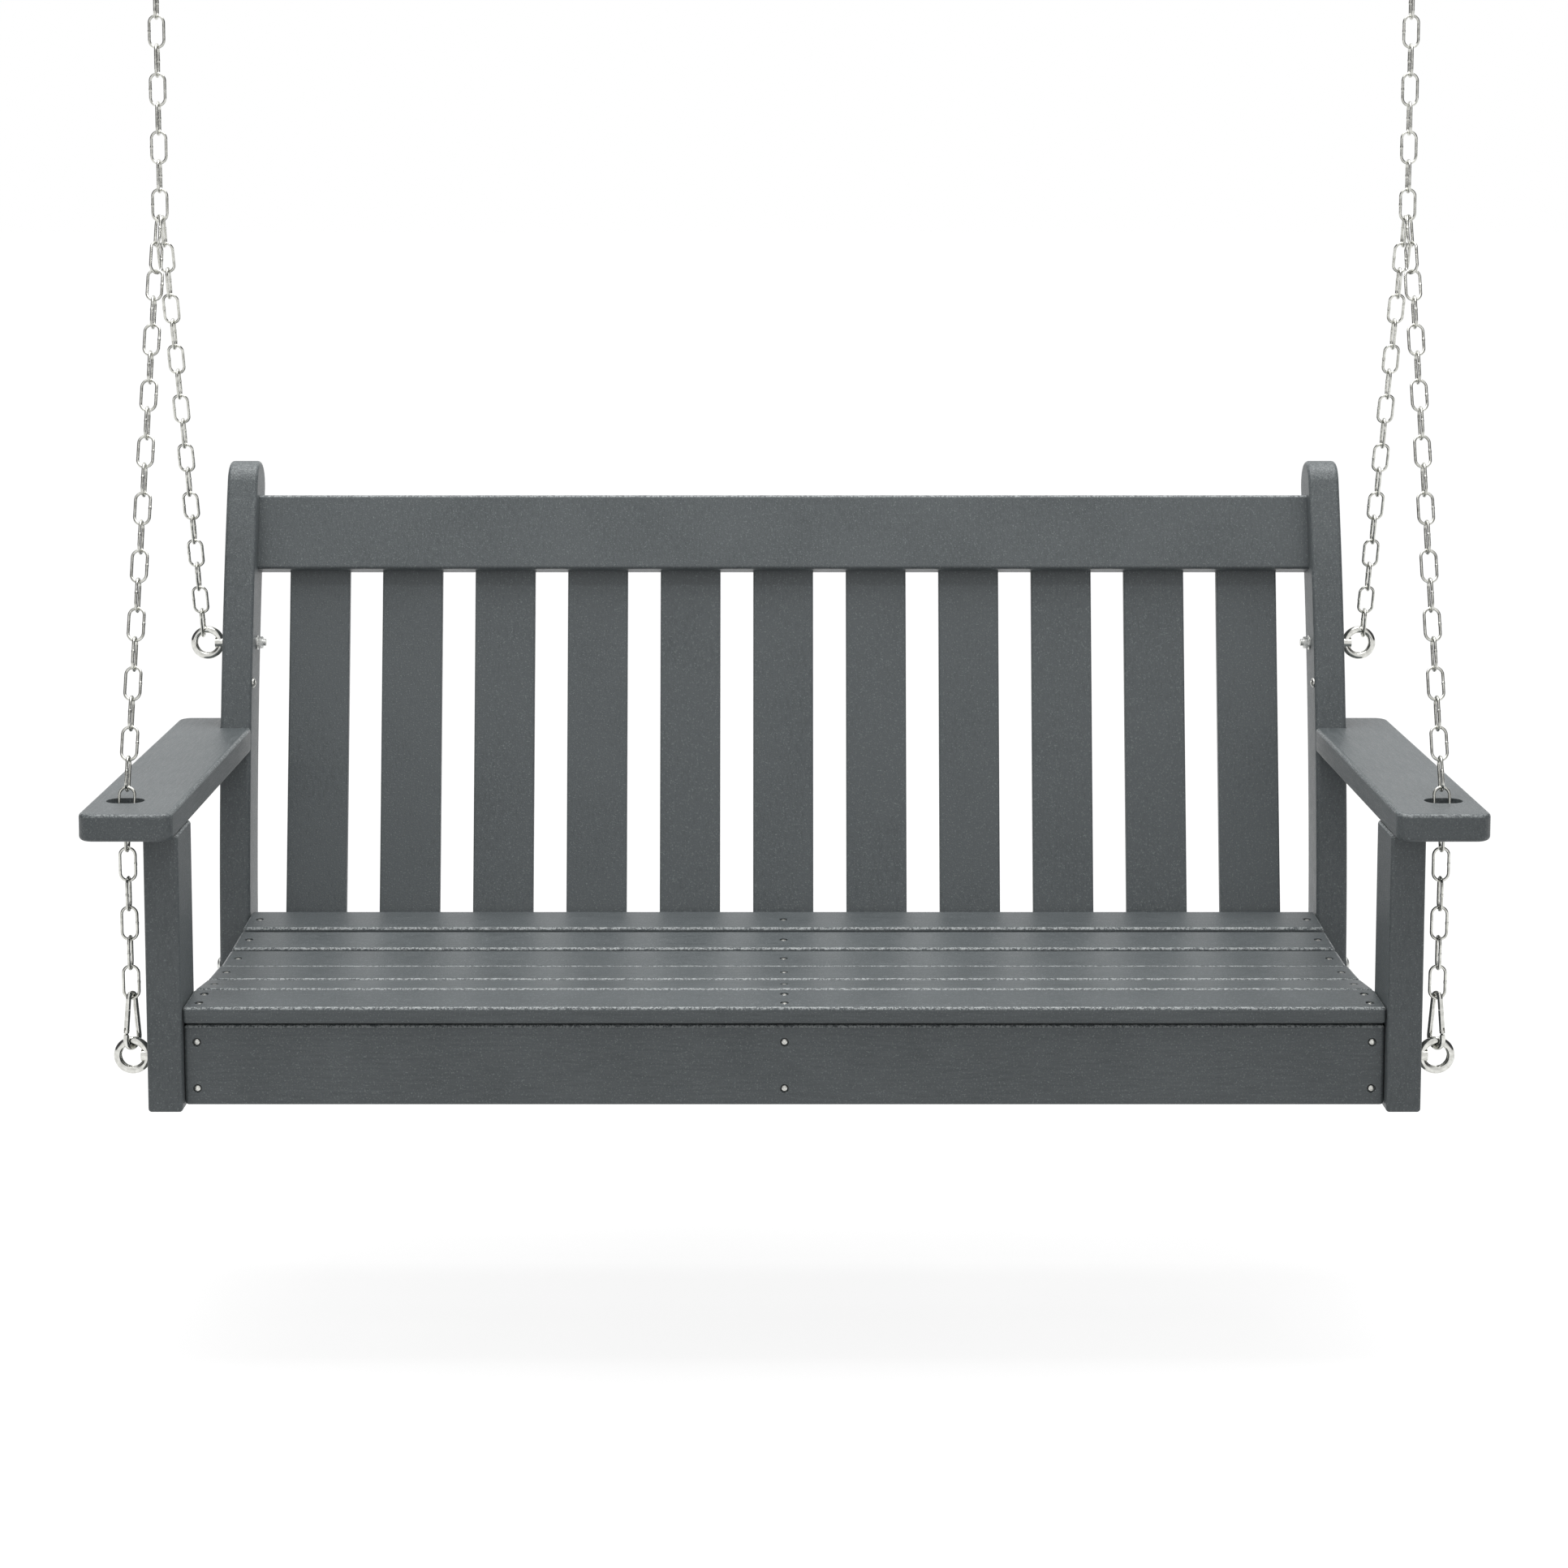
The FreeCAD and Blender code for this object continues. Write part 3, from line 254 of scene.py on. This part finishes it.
ZINC = steel("zinc_chain", rgb(214, 214, 208), rgb(176, 176, 170), 0.14, 0.28)
POLISHED = steel("polished_steel", rgb(222, 222, 217), rgb(196, 196, 191), 0.08, 0.18, relief=0.01 * MM)
STAINLESS = steel("stainless_screw", rgb(222, 222, 217), rgb(186, 186, 182), 0.24, 0.38)
GALVANISED = steel("galvanised_bolt", rgb(226, 227, 224), rgb(188, 190, 188), 0.26, 0.42)


# ---------------------------------------------------------------- the boards


SLOT_OF = {part["node"]: part["material_slot"] for part in frame["record"]["subparts"]}
CURVED = ("back_stile_left", "back_stile_right")


def board_tilt(obj):
    """How far a board is turned about X, from the direction of its largest face that doesn't look along X."""
    sides = [face for face in obj.data.polygons if abs(face.normal.x) < 0.5]
    normal = max(sides, key=lambda face: face.area).normal
    quarter = math.pi / 2
    angle = math.atan2(normal.z, normal.y)
    return angle - quarter * round(angle / quarter)


def grain_of(node):
    """The axis that a board's grain follows: its longest, but the top rail is stippled like the uprights."""
    if node == "top_rail":
        return "Z"
    low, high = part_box(node)
    size = high - low
    return "XYZ"[max(range(3), key=lambda axis: size[axis])]


def edge_wear_and_highlight_of(node):
    """How strongly a board's upward edges are worn and painted paler as a highlight; a curved stile's whole
    front would count as an edge.
    """
    if node in CURVED:
        return 0.12
    return 0.3 if "arm" in node else 0.65


def painted_lift_of(node):
    """How much paler than the seat a board is painted: painted light on the back's boards, which lean back
    under the light.
    """
    if "back_slat" in node:
        return 0.14
    return 0.08 if node == "top_rail" or node in CURVED else 0.0


def dress(obj, material):
    """Puts a material on a CAD object and leaves its mesh as it is."""
    for index in range(len(obj.material_slots)):
        obj.material_slots[index].link = "OBJECT"
        obj.material_slots[index].material = material


for seed, node in enumerate(sorted(NODES)):
    if SLOT_OF[node] == "lumber":
        tilt = 0.0 if node in CURVED else board_tilt(NODES[node])
        dress(NODES[node], lumber(f"lumber_{node}", grain_of(node), tilt, seed, edge_wear_and_highlight_of(node), painted_lift_of(node)))


def steel_for(node):
    """The kind of steel that a piece of hardware is made of."""
    if "chain" in node:
        return ZINC
    if "eye_bolt" in node or "snap" in node or "pin" in node:
        return POLISHED
    if "screw" in node:
        return STAINLESS
    return GALVANISED


for node in NODES:
    if SLOT_OF[node] == "steel":
        dress(NODES[node], steel_for(node))


# ---------------------------------------------------------------- mesh pieces


class Solid:
    """Points and faces gathered for one piece."""

    def __init__(self):
        self.points, self.faces = [], []

    def rings(self, rings, wrap=False):
        """Joins rings of equally many points, and caps the two ends unless they wrap round to each other."""
        base, count, size = len(self.points), len(rings), len(rings[0])
        for ring in rings:
            self.points += [tuple(p) for p in ring]
        for i in range(count if wrap else count - 1):
            a, b = base + i * size, base + (i + 1) % count * size
            self.faces += [(a + j, a + (j + 1) % size, b + (j + 1) % size, b + j) for j in range(size)]
        if not wrap:
            last = base + (count - 1) * size
            self.faces.append(tuple(base + j for j in reversed(range(size))))
            self.faces.append(tuple(last + j for j in range(size)))

    def piece(self, name, node, material, sharp=35.0, body=None):
        """The Blender object. It replaces a CAD node and rides on its body, or adds to the named body."""
        mesh = bpy.data.meshes.new(name)
        mesh.from_pydata(self.points, [], self.faces)
        mesh.validate()
        mesh.shade_smooth()
        mesh.set_sharp_from_angle(angle=math.radians(sharp))
        mesh.materials.append(material)
        obj = bpy.data.objects.new(name, mesh)
        bpy.context.scene.collection.objects.link(obj)
        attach(obj, body or body_of(NODES[node])[0])
        if node:
            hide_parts(node)


def loose_parts(node):
    """The separate solids of a CAD node, each as an array of its points."""
    mesh = NODES[node].data
    points = np.array([v.co for v in mesh.vertices], float)
    keys = {}
    same = [keys.setdefault(tuple(np.round(p * 1e6).astype(int)), len(keys)) for p in points]
    parent = list(range(len(keys)))

    def root(i):
        while parent[i] != i:
            parent[i] = parent[parent[i]]
            i = parent[i]
        return i

    for face in mesh.polygons:
        first = same[face.vertices[0]]
        for other in face.vertices[1:]:
            parent[root(same[other])] = root(first)
    groups = {}
    for index, key in enumerate(same):
        groups.setdefault(root(key), []).append(index)
    return [points[members] for _, members in sorted(groups.items())]


def long_axis(points):
    """The middle of a part, its long direction and the next longest one."""
    middle = (points.max(0) + points.min(0)) / 2
    _, vectors = np.linalg.eigh(np.cov((points - points.mean(0)).T))
    return middle, vectors[:, 2], vectors[:, 1]


def frame_along(direction):
    """A rotation whose Z is the direction."""
    return Vector(direction).to_track_quat("Z", "Y").to_matrix()


def circle(radius, height, count, lobes=0, depth=0.0):
    """A ring of points around Z; lobes and depth make it a star."""
    ring = []
    for k in range(count):
        angle = 2 * math.pi * k / count
        r = radius - depth * (0.5 - 0.5 * math.cos(lobes * angle)) if lobes else radius
        ring.append(Vector((r * math.cos(angle), r * math.sin(angle), height)))
    return ring


def hexagon_ring(corner, limit, height, count):
    """A hexagon of a corner radius as a ring of points, with its corners cut back to a limit."""
    ring = []
    for k in range(count):
        angle = 2 * math.pi * k / count
        flat = corner * math.cos(math.pi / 6)
        r = min(limit, flat / math.cos((angle + math.pi / 6) % (math.pi / 3) - math.pi / 6))
        ring.append(Vector((r * math.cos(angle), r * math.sin(angle), height)))
    return ring


def place_rings(rings, origin, rotation):
    """Rings around Z, turned and moved to their place."""
    return [[origin + rotation @ p for p in ring] for ring in rings]


def thread_rings(radius, low, high, pitch, depth, count, steps, taper=0.0):
    """Rings around Z whose radius follows a screw thread; taper is the length over which it comes to a point.

    There are count points on a ring and steps rings to a turn of the thread.
    """
    rings = []
    total = max(2, int((high - low) / pitch * steps))
    for i in range(total + 1):
        z = low + (high - low) * i / total
        shrink = 1.0
        if taper and z > high - taper:
            shrink = max(0.06, (high - z) / taper)
        ring = []
        for k in range(count):
            angle = 2 * math.pi * k / count
            phase = (z / pitch - angle / (2 * math.pi)) % 1.0
            crest = 1 - abs(2 * phase - 1)
            fade = min(1.0, i / steps, (total - i) / steps)
            r = (radius - depth * (1 - crest) * fade) * shrink
            ring.append(Vector((r * math.cos(angle), r * math.sin(angle), z)))
        rings.append(ring)
    return rings


SCREW_COUNT = 36
# a dome's rings, as shares of its radius
SCREW_SHARES = (0.45, 0.6, 0.75, 0.87, 0.95, 1.0)


def screw_head_rings(head, dome, shaft, length, socket):
    """A dome-head screw around Z, from the floor of its star socket over the dome to its point."""
    count = SCREW_COUNT
    star = {"lobes": 6, "depth": socket * 0.28}
    rings = [
        circle(socket * 0.35, dome - 0.9 * MM, count),
        circle(socket * 0.92, dome - 0.8 * MM, count, **star),
        circle(socket, dome - 0.10 * MM, count, **star),
        circle(socket * 1.12, dome - 0.01 * MM, count),
    ]
    for share in SCREW_SHARES:
        rings.append(circle(head * share, dome * math.sqrt(1 - (share * 0.985) ** 2), count))
    rings += [circle(head, 0.02 * MM, count), circle(head * 0.98, 0, count), circle(shaft, 0, count)]
    rings += [circle(shaft, -length + shaft * 2, count), circle(shaft * 0.12, -length, count)]
    return rings


def outward_end(points, middle, along):
    """The end of a screw that carries its head: the long direction towards its widest end."""
    reach = (points - middle) @ along
    away = np.linalg.norm(points - middle - np.outer(reach, along), axis=1)
    widest = reach[np.argmax(away)]
    return along if widest > 0 else -along


def build_screws(node, name, head, dome, shaft, socket, material):
    """Finely made screws at the places of a CAD node's coarse ones."""
    solid = Solid()
    for points in loose_parts(node):
        middle, along, _ = long_axis(points)
        along = outward_end(points, middle, along)
        reach = (points - middle) @ along
        length = float(reach.max() - reach.min()) - dome
        top = Vector(middle) + Vector(along) * float(reach.max())
        seat = top - Vector(along) * dome
        rings = screw_head_rings(head, dome, shaft, length, socket)
        solid.rings(place_rings(rings, seat, frame_along(along)))
    solid.piece(name, node, material)


SCREW = {"head": 3.9 * MM, "dome": 2.4 * MM, "shaft": 2.1 * MM, "socket": 1.5 * MM, "material": STAINLESS}
for place in ("seat_slat", "apron", "rear_rail", "top_rail", "leg", "arm"):
    build_screws(f"{place}_screws", f"{place}_screws_star", **SCREW)
STILE_SCREW = {"head": 6.0 * MM, "dome": 3.6 * MM, "shaft": 2.1 * MM, "socket": 2.3 * MM, "material": STAINLESS}
build_screws("stile_side_screws", "stile_side_screws_star", **STILE_SCREW)


# ---------------------------------------------------------------- nuts, washers and threaded ends


def ring_solid(solid, inner, outer, thick, origin, rotation, bevel=0.25 * MM, count=40):
    """A flat washer with softened edges, from its profile turned around Z."""
    profile = [
        (inner, bevel), (inner + bevel, 0), (outer - bevel, 0), (outer, bevel),
        (outer, thick - bevel), (outer - bevel, thick), (inner + bevel, thick), (inner, thick - bevel),
    ]
    rings = [[Vector((r * math.cos(a), r * math.sin(a), z)) for r, z in profile]
             for a in (2 * math.pi * k / count for k in range(count))]
    solid.rings(place_rings(rings, origin, rotation), wrap=True)


def inward(points):
    """The middle of a part, and the direction across the swing from it towards the middle plane."""
    middle = (points.max(0) + points.min(0)) / 2
    return Vector(middle), Vector((-1 if middle[0] > 0 else 1, 0, 0))


BOLT_HOLE = 4.02 * MM
WASHER_OUTER, WASHER_THICK = 9.0 * MM, 1.6 * MM
NUT_THICK, NUT_CORNER, NUT_LEAD, NUT_COUNT = 6.5 * MM, 7.5 * MM, 0.5 * MM, 48
STUB = {"radius": 4.35 * MM, "low": -0.6 * MM, "high": 3.3 * MM, "pitch": 1.25 * MM, "depth": 0.33 * MM}
washers, nuts, threads = Solid(), Solid(), Solid()
for points in loose_parts("bolt_washers"):
    middle, along = inward(points)
    face = middle - along * (WASHER_THICK / 2)
    ring_solid(washers, BOLT_HOLE, WASHER_OUTER, WASHER_THICK, face, frame_along(along))
for points in loose_parts("bolt_nuts"):
    middle, along = inward(points)
    half = NUT_THICK / 2
    chamfer = ((0.0, 0.93), (0.35 * MM, 0.975), (0.9 * MM, 1.0))
    heights = [(down - half, share) for down, share in chamfer]
    heights += [(half - down, share) for down, share in reversed(chamfer)]
    outer = [hexagon_ring(NUT_CORNER, NUT_CORNER * share, height, NUT_COUNT) for height, share in heights]
    bore = ((BOLT_HOLE + NUT_LEAD, half), (BOLT_HOLE, half - NUT_LEAD),
            (BOLT_HOLE, NUT_LEAD - half), (BOLT_HOLE + NUT_LEAD, -half))
    inner = [circle(radius, height, NUT_COUNT) for radius, height in bore]
    nuts.rings(place_rings(outer + inner, middle, frame_along(along)), wrap=True)
    # the bolt's end beyond the nut
    end = middle + along * half
    stub = thread_rings(**STUB, count=28, steps=10)
    threads.rings(place_rings(stub, end, frame_along(along)))
washers.piece("bolt_washers_turned", "bolt_washers", GALVANISED)
nuts.piece("bolt_nuts_chamfered", "bolt_nuts", GALVANISED)
threads.piece("bolt_thread_ends", None, GALVANISED, body="seat")

CARRIAGE = {"head": 9.0 * MM, "dome": 4.98 * MM, "shaft": 4.0 * MM, "end": 3.4 * MM, "count": 40}
DOME_SHARES = (0.2, 0.4, 0.58, 0.74, 0.86, 0.94, 0.985, 1.0)
carriage = Solid()
for points in loose_parts("carriage_bolts"):
    middle, along = inward(points)
    low, high = points[:, 0].min(), points[:, 0].max()
    outer = high if along.x < 0 else low
    head, dome, shaft, count = (CARRIAGE[key] for key in ("head", "dome", "shaft", "count"))
    length = float(high - low) - dome
    seat = Vector((outer, middle.y, middle.z)) + along * dome
    rings = [circle(0.3 * MM, dome, count)]
    rings += [circle(head * share, dome * math.sqrt(1 - (share * 0.97) ** 2), count) for share in DOME_SHARES]
    rings += [circle(head * 0.99, 0, count), circle(shaft, 0, count)]
    rings += [circle(shaft, 0.6 * MM - length, count), circle(CARRIAGE["end"], -length, count)]
    carriage.rings(place_rings(rings, seat, frame_along(-along)))
carriage.piece("carriage_bolts_domed", "carriage_bolts", GALVANISED)


# ---------------------------------------------------------------- weld beads on the links

# places along a link's straight wire, and the bead's radius there, in millimetres
BEAD = ((-2.2, 1.60), (-1.7, 1.78), (-0.9, 1.92), (0.0, 1.86), (0.9, 1.94), (1.7, 1.76), (2.2, 1.60))
BEAD_COUNT = 16
LINK_BEND = 8.5 * MM
for node in sorted(NODES):
    if "chain" not in node:
        continue
    beads = Solid()
    for number, points in enumerate(loose_parts(node)):
        middle, along, side = (Vector(v) for v in long_axis(points))
        away = side if number % 2 else -side
        rings = [circle(r * MM, z * MM, BEAD_COUNT) for z, r in BEAD]
        beads.rings(place_rings(rings, middle + away * LINK_BEND, frame_along(along)))
    beads.piece(f"{node}_welds", None, ZINC, body=body_of(NODES[node])[0])


# ---------------------------------------------------------------- ceiling hooks with their threads

HOOK = {"wire": 4.0 * MM, "bowl": 16.0 * MM, "neck": 10.0 * MM, "top": 106.0 * MM, "side": 731.0 * MM}
HOOK_OPEN_END = math.radians(385)
HOOK_COUNT, BOWL_STEPS, NECK_STEPS = 24, 40, 12
HOOK_THREAD = {"pitch": 3.2 * MM, "depth": 0.95 * MM, "taper": 12 * MM, "steps": 14}
THREAD_START = 4 * MM
# the open end is rounded: the wire's share of its full thickness at the first rings
TIP_SHARES = (0.55, 0.86)


def hook_path():
    """The centre line from the open end of the bowl round to the foot of the shank, and the foot's height."""
    bowl, neck = HOOK["bowl"], HOOK["neck"]
    rise = math.sqrt((bowl + neck) ** 2 - neck**2)
    meet = math.atan2(rise, -neck)
    spots = []
    for k in range(BOWL_STEPS + 1):
        angle = HOOK_OPEN_END + (meet - HOOK_OPEN_END) * k / BOWL_STEPS
        spots.append(Vector((bowl * math.cos(angle), 0, bowl + bowl * math.sin(angle))))
    first = math.atan2(-rise, neck)
    for k in range(1, NECK_STEPS + 1):
        angle = first * (1 - k / NECK_STEPS)
        spots.append(Vector((-neck + neck * math.cos(angle), 0, bowl + rise + neck * math.sin(angle))))
    return spots, bowl + rise


def hook_bend_rings(spots):
    """Rings of the wire along the bowl and the neck."""
    depth = Vector((0, 1, 0))
    rings = []
    for i, spot in enumerate(spots):
        before, after = spots[max(0, i - 1)], spots[min(len(spots) - 1, i + 1)]
        across = (after - before).normalized().cross(depth).normalized()
        radius = HOOK["wire"] * (TIP_SHARES[i] if i < len(TIP_SHARES) else 1.0)
        rings.append([spot + (across * math.cos(a) + depth * math.sin(a)) * radius
                      for a in (2 * math.pi * k / HOOK_COUNT for k in range(HOOK_COUNT))])
    return rings


def hook_shank_rings(foot, neck_ring):
    """The threaded shank's rings, which run round the same way and start at the same side as the neck's."""
    threaded = thread_rings(HOOK["wire"], foot + THREAD_START, HOOK["top"], count=HOOK_COUNT, **HOOK_THREAD)
    plain = [Vector((p.x, p.y, foot + THREAD_START - 0.1 * MM)) for p in threaded[0]]
    shank = [plain] + threaded
    if (neck_ring[1] - neck_ring[0]).cross(neck_ring[2] - neck_ring[1]).z < 0:
        shank = [[ring[-k] for k in range(HOOK_COUNT)] for ring in shank]
    start = min(range(HOOK_COUNT), key=lambda k: (shank[0][k].xy - neck_ring[0].xy).length)
    return [ring[start:] + ring[:start] for ring in shank]


spots, shank_foot = hook_path()
bend = hook_bend_rings(spots)
hook_rings = bend + hook_shank_rings(shank_foot, bend[-1])
for side, sign in (("right", 1), ("left", -1)):
    hook = Solid()
    hook.rings([[Vector((sign * (HOOK["side"] + p.x), p.y, p.z)) for p in ring] for ring in hook_rings])
    if sign < 0:
        hook.faces = [tuple(reversed(face)) for face in hook.faces]
    hook.piece(f"ceiling_hook_{side}_threaded", f"ceiling_hook_{side}", GALVANISED, sharp=50.0)


# ---------------------------------------------------------------- camera, stage and light


HANG_DEPTH = 329.238 * MM
CAMERA_REACH, CAMERA_SIDE, CAMERA_HEIGHT = 3.3, -0.0108, -0.2027
CAMERA_DOWN = math.radians(5.68)
SENSOR_WIDTH, LENS = 36.0, 70.85
SHIFT_X, SHIFT_Y = 0.006, -0.198

camera_data = bpy.data.cameras.new("camera")
camera = bpy.data.objects.new("camera", camera_data)
bpy.context.scene.collection.objects.link(camera)
bpy.context.scene.camera = camera
camera.location = (CAMERA_SIDE, -CAMERA_REACH - HANG_DEPTH, CAMERA_HEIGHT)
camera.rotation_euler = (math.pi / 2 - CAMERA_DOWN, 0, 0)
camera_data.sensor_width = SENSOR_WIDTH
camera_data.lens = LENS
camera_data.shift_x = SHIFT_X
camera_data.shift_y = SHIFT_Y

FLOOR_HEIGHT, FLOOR_HALF = -1.556, 60.0
FLOOR_GLOW = 0.81
PAPER_DARK, PAPER_PALE = (0.26, 0.26, 0.26, 1), (0.28, 0.28, 0.28, 1)
# the surroundings' strength as light on matt surfaces; they look fully white
WORLD_DIFFUSE = 0.74
# how far to the side the dark flags begin and are at their darkest, as a direction's X
FLAG_BEGIN, FLAG_FULL = 0.45, 0.75
FLAG_COLOUR = (0.06, 0.06, 0.065, 1)


def only_seen(tree, socket, seen, diffuse):
    """Sets a strength: one value for the camera and reflections, and another as light on matt surfaces."""
    path = tree.nodes.new("ShaderNodeLightPath")
    level = tree.nodes.new("ShaderNodeMapRange")
    tree.links.new(path.outputs["Is Diffuse Ray"], level.inputs["Value"])
    level.inputs["To Min"].default_value = seen
    level.inputs["To Max"].default_value = diffuse
    tree.links.new(level.outputs["Result"], socket)


def studio_floor():
    """A wide pale floor."""
    mesh = bpy.data.meshes.new("studio_floor")
    signs = ((-1, -1), (1, -1), (1, 1), (-1, 1))
    corners = [(x * FLOOR_HALF, y * FLOOR_HALF, FLOOR_HEIGHT) for x, y in signs]
    mesh.from_pydata(corners, [], [(0, 1, 2, 3)])
    g = Graph("studio_paper")
    mottle = g.noise(g.mapped(), 3.0)
    paper = g.mix(g.spread(mottle, 0.3, 0.7), PAPER_DARK, PAPER_PALE)
    g.put(paper, g.shader.inputs["Base Color"])
    g.shader.inputs["Roughness"].default_value = 1.0
    g.shader.inputs["Specular IOR Level"].default_value = 0.0
    g.shader.inputs["Emission Color"].default_value = (1, 1, 1, 1)
    only_seen(g.tree, g.shader.inputs["Emission Strength"], FLOOR_GLOW, 0.0)
    mesh.materials.append(g.material)
    floor = bpy.data.objects.new("studio_floor", mesh)
    bpy.context.scene.collection.objects.link(floor)


def studio_world():
    """White surroundings, with dark flags far to the left and right that only reflections show."""
    world = bpy.data.worlds.new("studio")
    world.use_nodes = True
    tree = world.node_tree
    background = tree.nodes["Background"]
    new = tree.nodes.new
    coords, parts = new("ShaderNodeTexCoord"), new("ShaderNodeSeparateXYZ")
    tree.links.new(coords.outputs["Generated"], parts.inputs["Vector"])
    side = new("ShaderNodeMath")
    side.operation = "ABSOLUTE"
    tree.links.new(parts.outputs["X"], side.inputs[0])
    flag = new("ShaderNodeMapRange")
    tree.links.new(side.outputs[0], flag.inputs["Value"])
    flag.inputs["From Min"].default_value = FLAG_BEGIN
    flag.inputs["From Max"].default_value = FLAG_FULL
    path, shown = new("ShaderNodeLightPath"), new("ShaderNodeMath")
    shown.operation = "MULTIPLY"
    tree.links.new(flag.outputs["Result"], shown.inputs[0])
    tree.links.new(path.outputs["Is Glossy Ray"], shown.inputs[1])
    paint = new("ShaderNodeMix")
    paint.data_type = "RGBA"
    tree.links.new(shown.outputs[0], paint.inputs["Factor"])
    paint.inputs["A"].default_value = (1, 1, 1, 1)
    paint.inputs["B"].default_value = FLAG_COLOUR
    tree.links.new(paint.outputs["Result"], background.inputs["Color"])
    only_seen(tree, background.inputs["Strength"], 1.0, WORLD_DIFFUSE)
    bpy.context.scene.world = world


def soft_box(name, place, target, width, height, power):
    """A rectangular lamp that looks at a target."""
    data = bpy.data.lights.new(name, "AREA")
    data.shape = "RECTANGLE"
    data.size, data.size_y, data.energy = width, height, power
    lamp = bpy.data.objects.new(name, data)
    bpy.context.scene.collection.objects.link(lamp)
    lamp.location = place
    lamp.rotation_euler = (Vector(target) - Vector(place)).to_track_quat("-Z", "Y").to_euler()


studio_floor()
studio_world()
soft_box("overhead_soft", place=(0, 0.2, 2.2), target=(0, 0.1, -0.9), width=3.6, height=2.4, power=90)
soft_box("edge_strip", place=(0, -1.0, 1.5), target=(0, -0.1, -0.9), width=3.0, height=0.25, power=14)
bpy.context.scene.view_settings.view_transform = "Standard"
